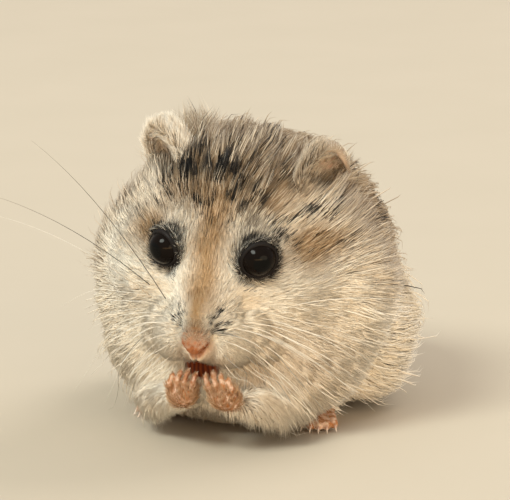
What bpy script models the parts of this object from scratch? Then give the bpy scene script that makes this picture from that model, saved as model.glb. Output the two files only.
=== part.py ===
"""A Roborovski dwarf hamster (Phodopus roborovskii), life size, sitting hunched with its paws at its mouth.

The forms run out to the tips of the coat. Head, neck and trunk are one soft mass of blended ellipsoids,
which thin cuts part into the animal's named pieces. +Z is up, the face looks along -Y, the animal's left
is +X, and the origin is on the floor below the middle of the body.
"""

import math

import bmesh
import bpy
from mathutils import Matrix, Vector

# ---------------------------------------------------------------- driving dimensions, in millimetres

MM = 0.001
GAP = 0.3  # between pieces that touch
ROOM_GAP = 0.4  # round a piece that sits in the soft mass
EYE_HEIGHT = 24.0  # of the point midway between the eyes, which is where the head is placed
HEAD_PITCH = math.radians(23.0)  # nose down
HEAD_ROLL = math.radians(4.0)  # leaning to its left

EYE_RADIUS = 2.25
EYE_SPACING = 11.3
EAR_WIDTH = 7.2
EAR_HEIGHT = 9.6
EAR_WALL = 0.9
EAR_CUP = 2.2  # depth of the ear's hollow side
EAR_RIM = 0.12  # share of the cup's depth by which the rim turns in
NOSE_PAD = (1.8, 1.1, 1.85)
NOSE_TILT = math.radians(-30)

BODY_WIDTH = 40.4
BACK_HEIGHT = 36.0
RUMP_REACH = 42.5  # from the eyes to the end of the rump
HIND_FOOT_LENGTH = 11.5
HIND_FOOT_WIDTH = 4.2
HIND_FOOT_PLACE = (9.8, 13.4)  # middle of the left one, across and back
HIND_FOOT_TURN = math.radians(14)  # toes out
FINGERS = 4
FINGER_PITCH = 0.98
FINGER_RADII = (0.50, 0.42, 0.36)
TOES = 5
TOE_RADII = (0.95, 0.62)
TAIL_LENGTH = 5.6
TAIL_ROOT = 6.2  # from the end of the rump to the start of the tail
PAW_MIDDLE = 0.3  # the paws meet below the mouth, a little to the left of the body's middle

# Each blended shape's voxel in millimetres, rounds of smoothing, and triangles.
MASS_BLEND = (0.75, 30, 20000)
FACE_BLEND = (0.75, 8, 1830)
JAW_BLEND = (0.4, 3, 150)
FORELEG_BLEND = (0.5, 3, 160)
FOREPAW_BLEND = (0.22, 1, 300)
HIND_FOOT_BLEND = (0.35, 2, 300)
TAIL_BLEND = (0.45, 2, 110)
ROOM_DETAIL = 0.45  # share of a piece's triangles that the hollow it sits in has

# Where the soft mass is parted: the middle and radii of an ellipsoid for each part.
HEAD_REGION = ((0, 2.5, 0), (18.0, 14.0, 15.2))
NECK_REGION = ((0, 5.0, -1.0), (21.0, 17.5, 17.6))
HAUNCH_REGION = ((17.0, 24.0, 8.0), (8.4, 11.0, 10.4))

# ---------------------------------------------------------------- colours (linear) and roughness

FUR_SAND = (0.50, 0.33, 0.19, 1.0)
FUR_CREAM = (0.78, 0.68, 0.55, 1.0)
EAR_SKIN = (0.62, 0.42, 0.34, 1.0)
PAW_SKIN = (0.66, 0.42, 0.33, 1.0)
NOSE_SKIN = (0.60, 0.33, 0.27, 1.0)
EYE_BLACK = (0.004, 0.004, 0.005, 1.0)

HEAD = (
    Matrix.Translation((0.0, 0.0, EYE_HEIGHT))
    @ Matrix.Rotation(HEAD_PITCH, 4, "X")
    @ Matrix.Rotation(HEAD_ROLL, 4, "Y")
)
BODY = Matrix.Identity(4)
SIDES = {"l": 1.0, "r": -1.0}
# Root and tip of each ear, and the way its hollow faces, in the head's frame.
EARS = {
    "l": ((10.6, 10.6, 2.6), (12.2, 12.4, 9.5), (0.86, -0.48, 0.10)),
    "r": ((-8.4, 10.2, 2.2), (-9.4, 12.2, 9.8), (-0.72, -0.66, 0.10)),
}


# ---------------------------------------------------------------- tools


def clear_scene():
    for thing in list(bpy.data.objects):
        bpy.data.objects.remove(thing, do_unlink=True)


def new_collection(name):
    collection = bpy.data.collections.new(name)
    bpy.context.scene.collection.children.link(collection)
    return collection


def finish_material(name, colour, roughness):
    material = bpy.data.materials.new(name)
    material.use_nodes = True
    shader = material.node_tree.nodes["Principled BSDF"]
    shader.inputs["Base Color"].default_value = colour
    shader.inputs["Roughness"].default_value = roughness
    shader.inputs["Metallic"].default_value = 0.0
    return material


def new_object(name, mesh, collection):
    thing = bpy.data.objects.new(name, mesh)
    collection.objects.link(thing)
    return thing


def ellipsoid(centre, radii, place=BODY, tilt=None, detail=3):
    """One ellipsoid as a bmesh. Sizes are millimetres in the frame of place, and tilt turns it there."""
    shape = bmesh.new()
    bmesh.ops.create_icosphere(shape, subdivisions=detail, radius=1.0)
    turn = tilt if tilt is not None else Matrix.Identity(4)
    moved = place @ Matrix.Translation(centre) @ turn @ Matrix.Diagonal((*radii, 1.0))
    bmesh.ops.transform(shape, matrix=Matrix.Scale(MM, 4) @ moved, verts=shape.verts)
    return shape


def limb(points, radii, place=BODY, steps=7):
    """Ellipsoids strung close together from point to point, which remeshing makes one tapered limb."""
    found = []
    for (a, b), (ra, rb) in zip(zip(points, points[1:]), zip(radii, radii[1:])):
        for i in range(steps):
            share = i / (steps - 1)
            radius = ra + (rb - ra) * share
            centre = Vector(a).lerp(Vector(b), share)
            found.append(ellipsoid(centre, (radius,) * 3, place, detail=2))
    return found


def joined(shapes):
    """One mesh of several bmeshes, each still a closed shell."""
    whole = bmesh.new()
    for shape in shapes:
        piece = bpy.data.meshes.new("piece")
        shape.to_mesh(piece)
        shape.free()
        whole.from_mesh(piece)
        bpy.data.meshes.remove(piece)
    mesh = bpy.data.meshes.new("joined")
    whole.to_mesh(mesh)
    whole.free()
    return mesh


def applied(thing):
    """Puts the object's modifiers into its mesh."""
    bpy.context.view_layer.update()
    graph = bpy.context.evaluated_depsgraph_get()
    mesh = bpy.data.meshes.new_from_object(thing.evaluated_get(graph))
    thing.modifiers.clear()
    thing.data = mesh
    return thing


def soft_union(thing, blend):
    """Blends the object's overlapping shells into one smooth closed skin."""
    voxel, smoothing, triangles = blend
    remesh = thing.modifiers.new("Blend", "REMESH")
    remesh.mode = "VOXEL"
    remesh.voxel_size = voxel * MM
    smooth = thing.modifiers.new("Soften", "SMOOTH")
    smooth.factor = 0.5
    smooth.iterations = smoothing
    split = thing.modifiers.new("Triangles", "TRIANGULATE")
    split.keep_custom_normals = False
    applied(thing)
    thinned = thing.modifiers.new("Coarsen", "DECIMATE")
    thinned.ratio = min(1.0, triangles / len(thing.data.polygons))
    thinned.use_collapse_triangulate = True
    return applied(thing)


def grown(source, name, by, collection, keep=1.0):
    """A hidden copy of source, standing out by this many millimetres, with keep of its triangles."""
    copy = new_object(name, source.data.copy(), collection)
    if keep < 1.0:
        copy.modifiers.new("Coarsen", "DECIMATE").ratio = keep
        applied(copy)
    mesh = copy.data
    shape = bmesh.new()
    shape.from_mesh(mesh)
    shape.normal_update()
    steps = {vertex.index: vertex.normal * by * MM for vertex in shape.verts}
    for vertex in shape.verts:
        vertex.co += steps[vertex.index]
    shape.to_mesh(mesh)
    shape.free()
    return hidden(copy)


def hidden(thing):
    thing.hide_render = True
    thing.display_type = "WIRE"
    return thing


def cut(thing, cutter, operation="DIFFERENCE"):
    boolean = thing.modifiers.new(operation.title(), "BOOLEAN")
    boolean.operation = operation
    boolean.solver = "EXACT"
    boolean.object = cutter
    return applied(thing)


def sliced(thing, point, normal, place=BODY):
    """Removes what lies on the normal's side of a plane and closes the cut with a flat face."""
    shape = bmesh.new()
    shape.from_mesh(thing.data)
    where = place @ Vector(point) * MM
    facing = place.to_3x3() @ Vector(normal)
    geometry = shape.verts[:] + shape.edges[:] + shape.faces[:]
    made = bmesh.ops.bisect_plane(
        shape, geom=geometry, dist=1e-7, plane_co=where, plane_no=facing, clear_outer=True
    )
    rim = [item for item in made["geom_cut"] if isinstance(item, bmesh.types.BMEdge)]
    bmesh.ops.holes_fill(shape, edges=rim, sides=0)
    bmesh.ops.recalc_face_normals(shape, faces=shape.faces)
    shape.to_mesh(thing.data)
    shape.free()
    return thing


# ---------------------------------------------------------------- the soft mass


def skull_forms():
    """Cranium, brow, cheeks and throat, in the head's own frame."""
    forms = [
        ellipsoid((0, 11.0, 0.3), (10.6, 10.6, 10.0), HEAD),
        ellipsoid((0, 2.8, -2.0), (7.2, 7.4, 6.0), HEAD),
        ellipsoid((0, 4.4, -8.6), (8.5, 7.4, 5.4), HEAD),
    ]
    for side in SIDES.values():
        forms.append(ellipsoid((side * 7.9, 5.6, -5.8), (7.4, 7.9, 7.0), HEAD))
    return forms


def face_forms():
    """Bridge of the nose, muzzle and whisker pads."""
    forms = limb(((0, -0.6, -3.5), (0, -6.6, -6.5)), (5.0, 2.7), HEAD)
    for side in SIDES.values():
        forms.append(ellipsoid((side * 3.0, -5.0, -8.7), (3.7, 3.8, 3.3), HEAD))
    return forms


def body_forms():
    """Shoulders, chest, barrel, belly, rump and haunches."""
    half = BODY_WIDTH / 2
    forms = [
        ellipsoid((0, 12.0, 18.0), (half - 0.2, 11.0, 17.2)),
        ellipsoid((0, 9.0, 10.4), (17.2, 9.4, 10.6)),
        ellipsoid((0, 20.5, BACK_HEIGHT - 18.0), (half - 2.2, 17.0, 18.0)),
        ellipsoid((0, RUMP_REACH - 15.5, 14.6), (half - 3.0, 15.8, 15.0)),
        ellipsoid((0, 21.0, 8.4), (15.0, 17.0, 9.8)),
    ]
    for side in SIDES.values():
        forms.append(ellipsoid((side * (half - 8.2), 22.5, 10.2), (8.2, 12.0, 9.8)))
    return forms


def soft_mass(name, collection):
    """The large forms are blended softly first, so that the small ones of the face keep their shape."""
    large = new_object(name, joined(skull_forms() + body_forms()), collection)
    soft_union(large, MASS_BLEND)
    face = bmesh.new()
    face.from_mesh(large.data)
    large.data = joined([face] + face_forms())
    soft_union(large, FACE_BLEND)
    return sliced(large, (0, 0, 0), (0, 0, -1))


# ---------------------------------------------------------------- pieces set into the mass


def eye(side, collection):
    centre = (side * EYE_SPACING / 2, 0, 0)
    ball = ellipsoid(centre, (EYE_RADIUS,) * 3, HEAD, detail=3)
    return new_object("eye", joined([ball]), collection)


def nose(collection):
    pad = ellipsoid((0, -8.9, -6.8), NOSE_PAD, HEAD, Matrix.Rotation(NOSE_TILT, 4, "X"), 2)
    return new_object("nose", joined([pad]), collection)


def lower_jaw(collection):
    forms = [
        ellipsoid((0, -4.3, -14.0), (2.4, 2.6, 1.5), HEAD),
        ellipsoid((0, -1.0, -13.6), (3.8, 4.4, 2.3), HEAD),
    ]
    jaw = new_object("lower_jaw", joined(forms), collection)
    return soft_union(jaw, JAW_BLEND)


def ear(root, apex, facing, collection):
    """A cupped round leaf with an even wall, hollow towards the front and outside."""
    shape = bmesh.new()
    bmesh.ops.create_uvsphere(shape, u_segments=14, v_segments=10, radius=1.0)
    gone = [vertex for vertex in shape.verts if vertex.co.z > EAR_RIM]
    bmesh.ops.delete(shape, geom=gone, context="VERTS")
    size = Matrix.Diagonal((EAR_WIDTH / 2, EAR_HEIGHT / 2, EAR_CUP, 1.0))
    up = (Vector(apex) - Vector(root)).normalized()
    out = Vector(facing)
    out = (out - up * out.dot(up)).normalized()
    across = up.cross(out)
    frame = Matrix((across, up, out)).transposed().to_4x4()
    middle = Vector(apex) - up * (EAR_HEIGHT / 2)
    placed = HEAD @ Matrix.Translation(middle) @ frame @ size
    bmesh.ops.transform(shape, matrix=Matrix.Scale(MM, 4) @ placed, verts=shape.verts)
    leaf = new_object("ear", joined([shape]), collection)
    wall = leaf.modifiers.new("Wall", "SOLIDIFY")
    wall.thickness = EAR_WALL * MM
    wall.offset = 1.0
    wall.use_even_offset = True
    return applied(leaf)


def foreleg(side, collection):
    """From the elbow beside the chest, in and forward to the wrist below the mouth."""
    elbow = (side * 8.6, 5.0, 6.0)
    middle = (side * 6.4, 0.4, 5.4)
    wrist = (PAW_MIDDLE + side * 3.0, -3.4, 6.4)
    forms = limb((elbow, middle, wrist), (3.2, 2.5, 1.6))
    leg = new_object("foreleg", joined(forms), collection)
    return soft_union(leg, FORELEG_BLEND)


def forepaw(side, collection):
    """A small palm with four curled fingers that point up and in to the mouth."""
    palm = Vector((PAW_MIDDLE + side * 2.6, -4.9, 7.6))
    forms = [ellipsoid(palm, (1.75, 1.4, 1.9), detail=2)]
    for i in range(FINGERS):
        spread = (i - (FINGERS - 1) / 2) * FINGER_PITCH
        base = palm + Vector((side * (spread * 0.9 - 0.1), -0.6, 0.9))
        bend = base + Vector((-side * 0.25, -0.4, 1.2))
        tip = bend + Vector((-side * 0.25, 0.4, 0.95))
        forms += limb((base, bend, tip), FINGER_RADII, steps=5)
    paw = new_object("forepaw", joined(forms), collection)
    return soft_union(paw, FOREPAW_BLEND)


def hind_foot(side, collection):
    """A long flat sole from heel to toes, turned out a little, with five short toes."""
    across, back = HIND_FOOT_PLACE
    turn = Matrix.Translation((side * across, back, 0)) @ Matrix.Rotation(side * HIND_FOOT_TURN, 4, "Z")
    half = HIND_FOOT_LENGTH / 2
    forms = [
        ellipsoid((0, 1.2, 1.5), (HIND_FOOT_WIDTH / 2, half - 0.8, 2.3), turn, detail=2),
        ellipsoid((0, 3.4, 2.2), (HIND_FOOT_WIDTH / 2, 2.6, 2.6), turn, detail=2),
    ]
    for i in range(TOES):
        spread = i - TOES // 2
        reach = 1.9 - 0.22 * spread * spread
        start = (spread * 0.72, -2.4, 0.9)
        end = (spread * 1.0, -3.6 - reach, 0.62)
        forms += limb((start, end), TOE_RADII, turn, steps=5)
    foot = new_object("hind_foot", joined(forms), collection)
    soft_union(foot, HIND_FOOT_BLEND)
    return sliced(foot, (0, 0, 0), (0, 0, -1))


def tail(collection):
    """A short blunt stub lying on the floor behind the rump."""
    start = (0.3, RUMP_REACH - TAIL_ROOT, 1.4)
    end = (0.9, RUMP_REACH - TAIL_ROOT + TAIL_LENGTH, 0.8)
    stub = new_object("tail", joined(limb((start, end), (1.8, 1.0))), collection)
    soft_union(stub, TAIL_BLEND)
    return sliced(stub, (0, 0, 0), (0, 0, -1))


# ---------------------------------------------------------------- cuts


def region(bound, place=BODY, extra=0.0):
    """A hidden ellipsoid that bounds one part of the soft mass. extra widens it by the gap of a cut."""
    centre, radii = bound
    space = ellipsoid(centre, [radius + extra for radius in radii], place)
    return hidden(new_object("region", joined([space]), bpy.data.collections["cutters"]))


def haunch_region(side, extra=0.0):
    (across, back, height), radii = HAUNCH_REGION
    return region(((side * across, back, height), radii), BODY, extra)


def copied(thing, name):
    return new_object(name, thing.data.copy(), bpy.data.collections["cutters"])


def largest_body(thing):
    """Drops the crumbs that a cut leaves beside the main piece."""
    shape = bmesh.new()
    shape.from_mesh(thing.data)
    islands = []
    waiting = set(shape.verts)
    while waiting:
        found = {waiting.pop()}
        edge_of_search = list(found)
        while edge_of_search:
            vertex = edge_of_search.pop()
            near = {edge.other_vert(vertex) for edge in vertex.link_edges} - found
            found |= near
            edge_of_search += list(near)
        waiting -= found
        islands.append(found)
    islands.sort(key=len, reverse=True)
    crumbs = [vertex for island in islands[1:] for vertex in island]
    bmesh.ops.delete(shape, geom=crumbs, context="VERTS")
    shape.to_mesh(thing.data)
    shape.free()
    return thing


def parted(mass):
    """Head, neck, trunk and the two folded hind legs, cut from the soft mass."""
    head = cut(copied(mass, "head"), region(HEAD_REGION, HEAD), "INTERSECT")
    neck = cut(copied(mass, "neck"), region(NECK_REGION, HEAD), "INTERSECT")
    cut(neck, region(HEAD_REGION, HEAD, GAP))
    parts = {"head": head, "neck": neck, "trunk": cut(mass, region(NECK_REGION, HEAD, GAP))}
    for letter, side in SIDES.items():
        leg = cut(copied(mass, f"hind_leg_{letter}"), haunch_region(side), "INTERSECT")
        cut(mass, haunch_region(side, GAP))
        parts[f"hind_leg_{letter}"] = leg
    return {name: largest_body(part) for name, part in parts.items()}


# ---------------------------------------------------------------- assembly


def take(thing, name, collection, material):
    """Makes this shape one of the animal's named pieces."""
    for other in thing.users_collection:
        other.objects.unlink(thing)
    collection.objects.link(thing)
    thing.name = name
    thing.data.name = name
    thing.data.materials.clear()
    thing.data.materials.append(material)
    thing.data.shade_smooth()
    thing.data.set_sharp_from_angle(angle=math.radians(40))
    return thing


def centre_on_floor(pieces):
    """Moves the animal so that the middle of its box is over the origin."""
    corners = [piece.matrix_world @ vertex.co for piece in pieces for vertex in piece.data.vertices]
    low = [min(corner[i] for corner in corners) for i in range(2)]
    high = [max(corner[i] for corner in corners) for i in range(2)]
    shift = Matrix.Translation((-(low[0] + high[0]) / 2, -(low[1] + high[1]) / 2, 0))
    for piece in pieces:
        piece.data.transform(shift)


def main():
    clear_scene()
    animal = new_collection("roborovski_hamster")
    guides = new_collection("cutters")
    fur = finish_material("fur_sand", FUR_SAND, 0.85)
    cream = finish_material("fur_cream", FUR_CREAM, 0.85)
    ear_skin = finish_material("ear_skin", EAR_SKIN, 0.6)
    paw_skin = finish_material("paw_skin", PAW_SKIN, 0.55)
    nose_skin = finish_material("nose_skin", NOSE_SKIN, 0.4)
    eye_black = finish_material("eye_black", EYE_BLACK, 0.05)
    pieces = []

    mass = soft_mass("mass", guides)
    inlaid = {"nose": (nose(guides), nose_skin), "lower_jaw": (lower_jaw(guides), cream)}
    inlaid["tail"] = (tail(guides), cream)
    for letter, side in SIDES.items():
        inlaid[f"eye_{letter}"] = (eye(side, guides), eye_black)
        inlaid[f"ear_{letter}"] = (ear(*EARS[letter], guides), ear_skin)
        inlaid[f"foreleg_{letter}"] = (foreleg(side, guides), cream)
        inlaid[f"forepaw_{letter}"] = (forepaw(side, guides), paw_skin)
        inlaid[f"hind_foot_{letter}"] = (hind_foot(side, guides), paw_skin)

    # Each wrist stops short of both paws, which lie close together.
    for leg in SIDES:
        foreleg_piece = inlaid[f"foreleg_{leg}"][0]
        for paw in SIDES:
            cut(foreleg_piece, grown(inlaid[f"forepaw_{paw}"][0], "wrist_gap", GAP, guides))
        largest_body(foreleg_piece)
    for name, (piece, material) in inlaid.items():
        keep = 1.0 if name.startswith(("eye", "nose")) else ROOM_DETAIL
        cut(mass, grown(piece, f"room_for_{name}", ROOM_GAP, guides, keep))
        pieces.append(take(piece, name, animal, material))
    for name, piece in parted(mass).items():
        pieces.append(take(piece, name, animal, fur))
    centre_on_floor(pieces)


main()
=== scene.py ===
"""Looks of the Roborovski dwarf hamster: one skin over the solids of flesh, a coat of solid hairs, eyes,
claws, whiskers, lights and the camera. Sizes are millimetres until a mesh is made. +Z is up and the face
looks along -Y. Places on the face are in the head's frame: x to the animal's left, y back, z up, from the
point midway between the eyes.
"""

import math

import bmesh
import bpy
import numpy as np
from mathutils import Matrix, Vector
from mathutils.bvhtree import BVHTree
from mathutils.kdtree import KDTree


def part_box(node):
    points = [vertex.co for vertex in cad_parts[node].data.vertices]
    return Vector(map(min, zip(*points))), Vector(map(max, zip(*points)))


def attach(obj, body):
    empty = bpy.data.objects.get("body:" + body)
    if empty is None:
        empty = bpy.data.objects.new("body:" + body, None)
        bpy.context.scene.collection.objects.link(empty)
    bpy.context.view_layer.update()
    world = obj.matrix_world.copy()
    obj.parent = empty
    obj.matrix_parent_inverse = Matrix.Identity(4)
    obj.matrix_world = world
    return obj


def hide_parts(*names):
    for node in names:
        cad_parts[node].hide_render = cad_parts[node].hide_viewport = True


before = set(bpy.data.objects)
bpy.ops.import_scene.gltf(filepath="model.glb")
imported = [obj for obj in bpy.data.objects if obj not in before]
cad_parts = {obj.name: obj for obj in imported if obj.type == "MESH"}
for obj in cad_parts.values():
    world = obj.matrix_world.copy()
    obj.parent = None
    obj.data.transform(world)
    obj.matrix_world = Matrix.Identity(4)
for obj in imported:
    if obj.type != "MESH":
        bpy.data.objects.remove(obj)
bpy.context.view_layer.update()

# ------------------------ sizes

MM = 0.001
SIDES = {"l": 1.0, "r": -1.0}
HEAD_PITCH = math.radians(23.0)
HEAD_ROLL = math.radians(4.0)
HEAD_TURN = np.array(Matrix.Rotation(HEAD_PITCH, 3, "X") @ Matrix.Rotation(HEAD_ROLL, 3, "Y"))
EYE_RADIUS = 2.25

CLOSING = 0.25  # how far the solids' pieces grow so that the cuts between them close
SKIN_VOXEL = 0.52
FINE_VOXEL = 0.13
FOOT_VOXEL = 0.17
FLOOR_GAP = 0.02  # how far the skin and the coat stay over the floor
ROUND = 72  # places around a lid or an ear's rim
DRAW_STEPS = 10  # in which the skin is drawn in under the coat
EYE_LOOK = (0.50, -0.84, 0.20)  # the way the left eye looks
LID_OPENING = 63.0  # degrees from the middle of the eye to the lid's edge
LID_THICKNESS = 0.26
EAR_WIDTH = 7.2
EAR_HEIGHT = 9.6
EAR_CUP = 1.7
EAR_WALL = 0.5
EAR_FLAT_SHARE = 0.8  # of the way out, where the rim starts to roll
EAR_RINGS = 12  # down the hollow, and again around the rim
RIM_SLOPE = math.radians(42.0)
# Root and tip of each ear, and the way its hollow faces.
EARS = {
    "l": ((10.6, 10.6, 2.6), (12.2, 12.4, 9.5), (0.86, -0.48, 0.10)),
    "r": ((-8.4, 10.2, 2.2), (-9.4, 12.2, 9.8), (-0.72, -0.66, 0.10)),
}
MOUTH = np.array((-0.6, -6.0, -13.6))
NOSE = np.array((0.0, -9.6, -6.6))  # the nose's front, in the head's frame
# Each nostril is a comma: places along it on the left side, how wide it is there, and how deep.
NOSTRIL = (
    ((0.95, -9.55, -8.20), 0.34, 0.65),
    ((1.18, -9.50, -7.80), 0.34, 0.75),
    ((1.40, -9.32, -7.40), 0.28, 0.60),
    ((1.60, -9.05, -6.98), 0.22, 0.35),
)
PAW_MIDDLE = 0.3
PALM_HEIGHT = 7.7
FINGER_PITCH = 0.98
FINGER_TALLNESS = (0.92, 1.05, 1.0, 0.85)
# Shares of a finger's or toe's length, and its radius there.
FINGER_RADII = ((0, 0.35, 0.6, 0.85, 1), (0.44, 0.40, 0.31, 0.35, 0.24))
TOE_RADII = ((0, 0.5, 0.8, 1), (0.75, 0.56, 0.60, 0.42))
HIND_FOOT_LENGTH = 11.5
HIND_FOOT_WIDTH = 4.2
HIND_FOOT_TURN = 14  # degrees outwards

# Distances from the nose, and the coat's hair length there.
HAIR_LENGTHS = (
    (1.0, 2.5, 4.0, 6.0, 9.0, 12.0, 16.0, 22.0, 30.0),
    (0.25, 0.5, 0.85, 1.15, 1.6, 2.4, 3.4, 4.7, 6.0),
)
# Distances from the nose, and the hairs on a square millimetre there.
HAIR_DENSITIES = ((2.0, 5.0, 9.0, 13.0, 18.0, 25.0, 34.0), (105, 98, 88, 68, 44, 17, 10))
# Hair lengths, and how wide such a hair is.
HAIR_WIDTHS = ((0.3, 1.0, 2.5, 4.0, 6.5), (0.045, 0.060, 0.074, 0.095, 0.155))
# Shares of a hair's length, and how wide it is there beside its widest.
HAIR_TAPER = ((0.0, 0.35, 1.0), (0.85, 1.0, 0.25))
# A hair's three corners: degrees around it, and the place across its patch of the map.
HAIR_CORNERS = ((90, 0.0), (330, 0.5), (210, -0.5))
HAIR_FLATNESS = 0.7
ROOT_DEPTH = 0.05
LOCK_PITCH = 0.16, 0.16  # from lock to lock, and what each millimetre of hair adds
# Degrees that a lock's hairs, or each hair, may turn aside and lean, from one extreme to the other.
LOCK_TURN, HAIR_TURN, LOCK_LEAN, HAIR_LEAN = 18, 18, 14, 16
HAIR_BEND = 14, 4.2  # degrees from root to tip, and what each millimetre adds
HAIR_WAVE = 0.10  # of a hair's length that its tip may stray sideways
STRAY_SHARE = 0.012  # of the body's hairs are longer and steeper than their neighbours
STRAY_LENGTH, STRAY_LEAN = 1.2, 12
PAW_DENSITY, FOOT_DENSITY, EAR_DENSITY = 45.0, 6.0, 50.0
MUZZLE_REACH = 11.0  # from the nose, past the muzzle's shell
SKIN_DEPTH = 0.12  # hairs grow down to this depth inside another shell
SHORT_HAIR = 1.15  # hairs up to this length are straight
LONG_HAIR = 5.4  # hairs over this length have three segments
COAT_LIMIT = 190000  # triangles in one coat piece
PATCH = 0.003  # size of a hair's place on the coat's map
MAP_NAME = "OFBake"
WHISKER_CLEARANCE = 2.4  # over the skin
WHISKER_ROWS, WHISKER_COLUMNS = 5, 6
WHISKER_START = (2.2, -7.6, -6.0)  # root of the first whisker on the left side, in the head's frame
WHISKER_PITCH = (0.52, 0.85, -0.95)  # aside and back for each column, and down for each row
WHISKER_SIDES, CLAW_SIDES = 5, 8
BOW = 0.08  # of a long whisker's length
COAT_SEED, WHISKER_SEED = 5, 8
WAVES = 14  # in a smooth random field
# Whiskers that stand out in the photo: root and tip in the head's frame, and tone from dark to pale.
LONG_WHISKERS = (
    ((-7.4, -2.6, -4.2), (-27.0, -5.0, 8.4), 0.0),
    ((-4.8, -4.6, -4.4), (-18.5, -8.0, 19.0), 0.0),
    ((-7.0, -3.4, -5.4), (-27.5, -1.0, 2.2), 0.7),
    ((6.2, -4.2, -5.6), (25.0, 3.0, -6.0), 0.9),
)


def eye_centre(letter):
    """The middle of an eye's solid, in the row frame."""
    low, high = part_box(f"eye_{letter}")
    return np.array((low + high) / 2) / MM


EYE_MIDDLE = (eye_centre("l") + eye_centre("r")) / 2


def to_head(points):
    """From the row frame to the head's frame."""
    return (np.asarray(points) - EYE_MIDDLE) @ HEAD_TURN


def from_head(points):
    """From the head's frame to the row frame."""
    return np.asarray(points) @ HEAD_TURN.T + EYE_MIDDLE


EYES = {letter: to_head(eye_centre(letter)) for letter in SIDES}
BODY_SHIFT = np.array((EYE_MIDDLE[0], EYE_MIDDLE[1], 0.0))  # the body's forms are placed from below the eyes

# ------------------------ numbers and fields


def ease(x, start, end):
    """0 before start, 1 after end, and smooth between."""
    t = np.clip((x - start) / (end - start), 0.0, 1.0)
    return t * t * (3.0 - 2.0 * t)


def near(distance, width):
    """1 at no distance, falling smoothly to almost 0 at twice the width."""
    return np.exp(-((distance / width) ** 2))


def unit(vectors):
    length = np.linalg.norm(vectors, axis=-1, keepdims=True)
    return vectors / np.maximum(length, 1e-9)


def dot(a, b):
    return np.sum(a * b, axis=-1, keepdims=True)


def tangent(vectors, normals):
    """Vectors laid flat on surfaces with these normals."""
    return vectors - normals * dot(vectors, normals)


def ripple(points, size, seed):
    """A smooth random field, about -1 to 1, whose patches are about this size."""
    rng = np.random.default_rng(seed)
    facing = unit(rng.normal(size=(WAVES, 3)))
    length = size * rng.uniform(1.3, 3.0, WAVES)
    phase = rng.uniform(0.0, 2.0 * math.pi, WAVES)
    total = np.sin(points @ (facing / length[:, None]).T * 2.0 * math.pi + phase).sum(axis=1)
    return total / math.sqrt(WAVES / 2.0) * 0.7


def reach_of(points, centre, radii):
    """Distance from the centre of an ellipsoid, which is 1 on its surface."""
    return np.linalg.norm((points - np.array(centre)) / np.array(radii), axis=1)


def blob(points, centre, radii):
    """1 at the centre of an ellipsoid, falling smoothly to 0 a little past its surface."""
    return near(reach_of(points, centre, radii), 1.0)


def mirrored(points):
    """The same points on the left side of the head."""
    return np.column_stack((np.abs(points[:, 0]), points[:, 1], points[:, 2]))


# ------------------------ meshes


def new_piece(name, vertices, faces):
    """An object from arrays. vertices are millimetres and faces all have the same number of corners."""
    mesh = bpy.data.meshes.new(name)
    corners = faces.shape[1]
    mesh.vertices.add(len(vertices))
    mesh.vertices.foreach_set("co", (vertices * MM).astype(np.float32).ravel())
    mesh.loops.add(faces.size)
    mesh.loops.foreach_set("vertex_index", faces.astype(np.int32).ravel())
    mesh.polygons.add(len(faces))
    mesh.polygons.foreach_set("loop_start", np.arange(0, faces.size, corners, dtype=np.int32))
    mesh.update(calc_edges=True)
    mesh.polygons.foreach_set("use_smooth", np.ones(len(faces), dtype=bool))
    piece = bpy.data.objects.new(name, mesh)
    bpy.context.scene.collection.objects.link(piece)
    return piece


def applied(thing):
    """Makes an object's modifiers part of its mesh."""
    bpy.context.view_layer.update()
    graph = bpy.context.evaluated_depsgraph_get()
    mesh = bpy.data.meshes.new_from_object(thing.evaluated_get(graph))
    thing.modifiers.clear()
    thing.data = mesh
    return thing


def points_of(mesh):
    """A mesh's vertices in millimetres."""
    found = np.empty(len(mesh.vertices) * 3, np.float32)
    mesh.vertices.foreach_get("co", found)
    return found.reshape(-1, 3).astype(float) / MM


def quads_of(mesh):
    found = np.empty(len(mesh.loops), np.int32)
    mesh.loops.foreach_get("vertex_index", found)
    return found.reshape(-1, 4)


def ball(centre, radii, turn=None, detail=3, head=True):
    """An ellipsoid as (vertices, triangles), placed in the head's frame or else the row frame."""
    shape = bmesh.new()
    bmesh.ops.create_icosphere(shape, subdivisions=detail, radius=1.0)
    vertices = np.array([vertex.co for vertex in shape.verts]) * np.array(radii)
    faces = np.array([[vertex.index for vertex in face.verts] for face in shape.faces])
    shape.free()
    if turn is not None:
        vertices = vertices @ np.array(turn).T
    vertices = vertices + np.array(centre)
    return (from_head(vertices) if head else vertices), faces


def tube(points, radii, sides=14):
    """A closed tapered tube with round ends along a path."""
    points = np.array(points, float)
    radii = np.array(radii, float)
    along = unit(np.gradient(points, axis=0))
    aside = unit(np.cross(along, np.array((0.31, 0.17, 0.93))))
    upward = np.cross(along, aside)
    turn = np.linspace(0.0, 2.0 * math.pi, sides, endpoint=False)
    rings = [
        point + radius * (np.cos(turn)[:, None] * a + np.sin(turn)[:, None] * u)
        for point, radius, a, u in zip(points, radii, aside, upward)
    ]
    ends = [points[0] - along[0] * radii[0] * 0.6, points[-1] + along[-1] * radii[-1] * 0.6]
    vertices = np.vstack(rings + [np.array(ends)])
    faces = []
    count = len(points)
    for i in range(sides):
        j = (i + 1) % sides
        for k in range(count - 1):
            a, b = k * sides + i, k * sides + j
            faces += [(a, b, b + sides), (a, b + sides, a + sides)]
        faces.append((count * sides, j, i))
        faces.append((count * sides + 1, (count - 1) * sides + i, (count - 1) * sides + j))
    return vertices, np.array(faces)


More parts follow.
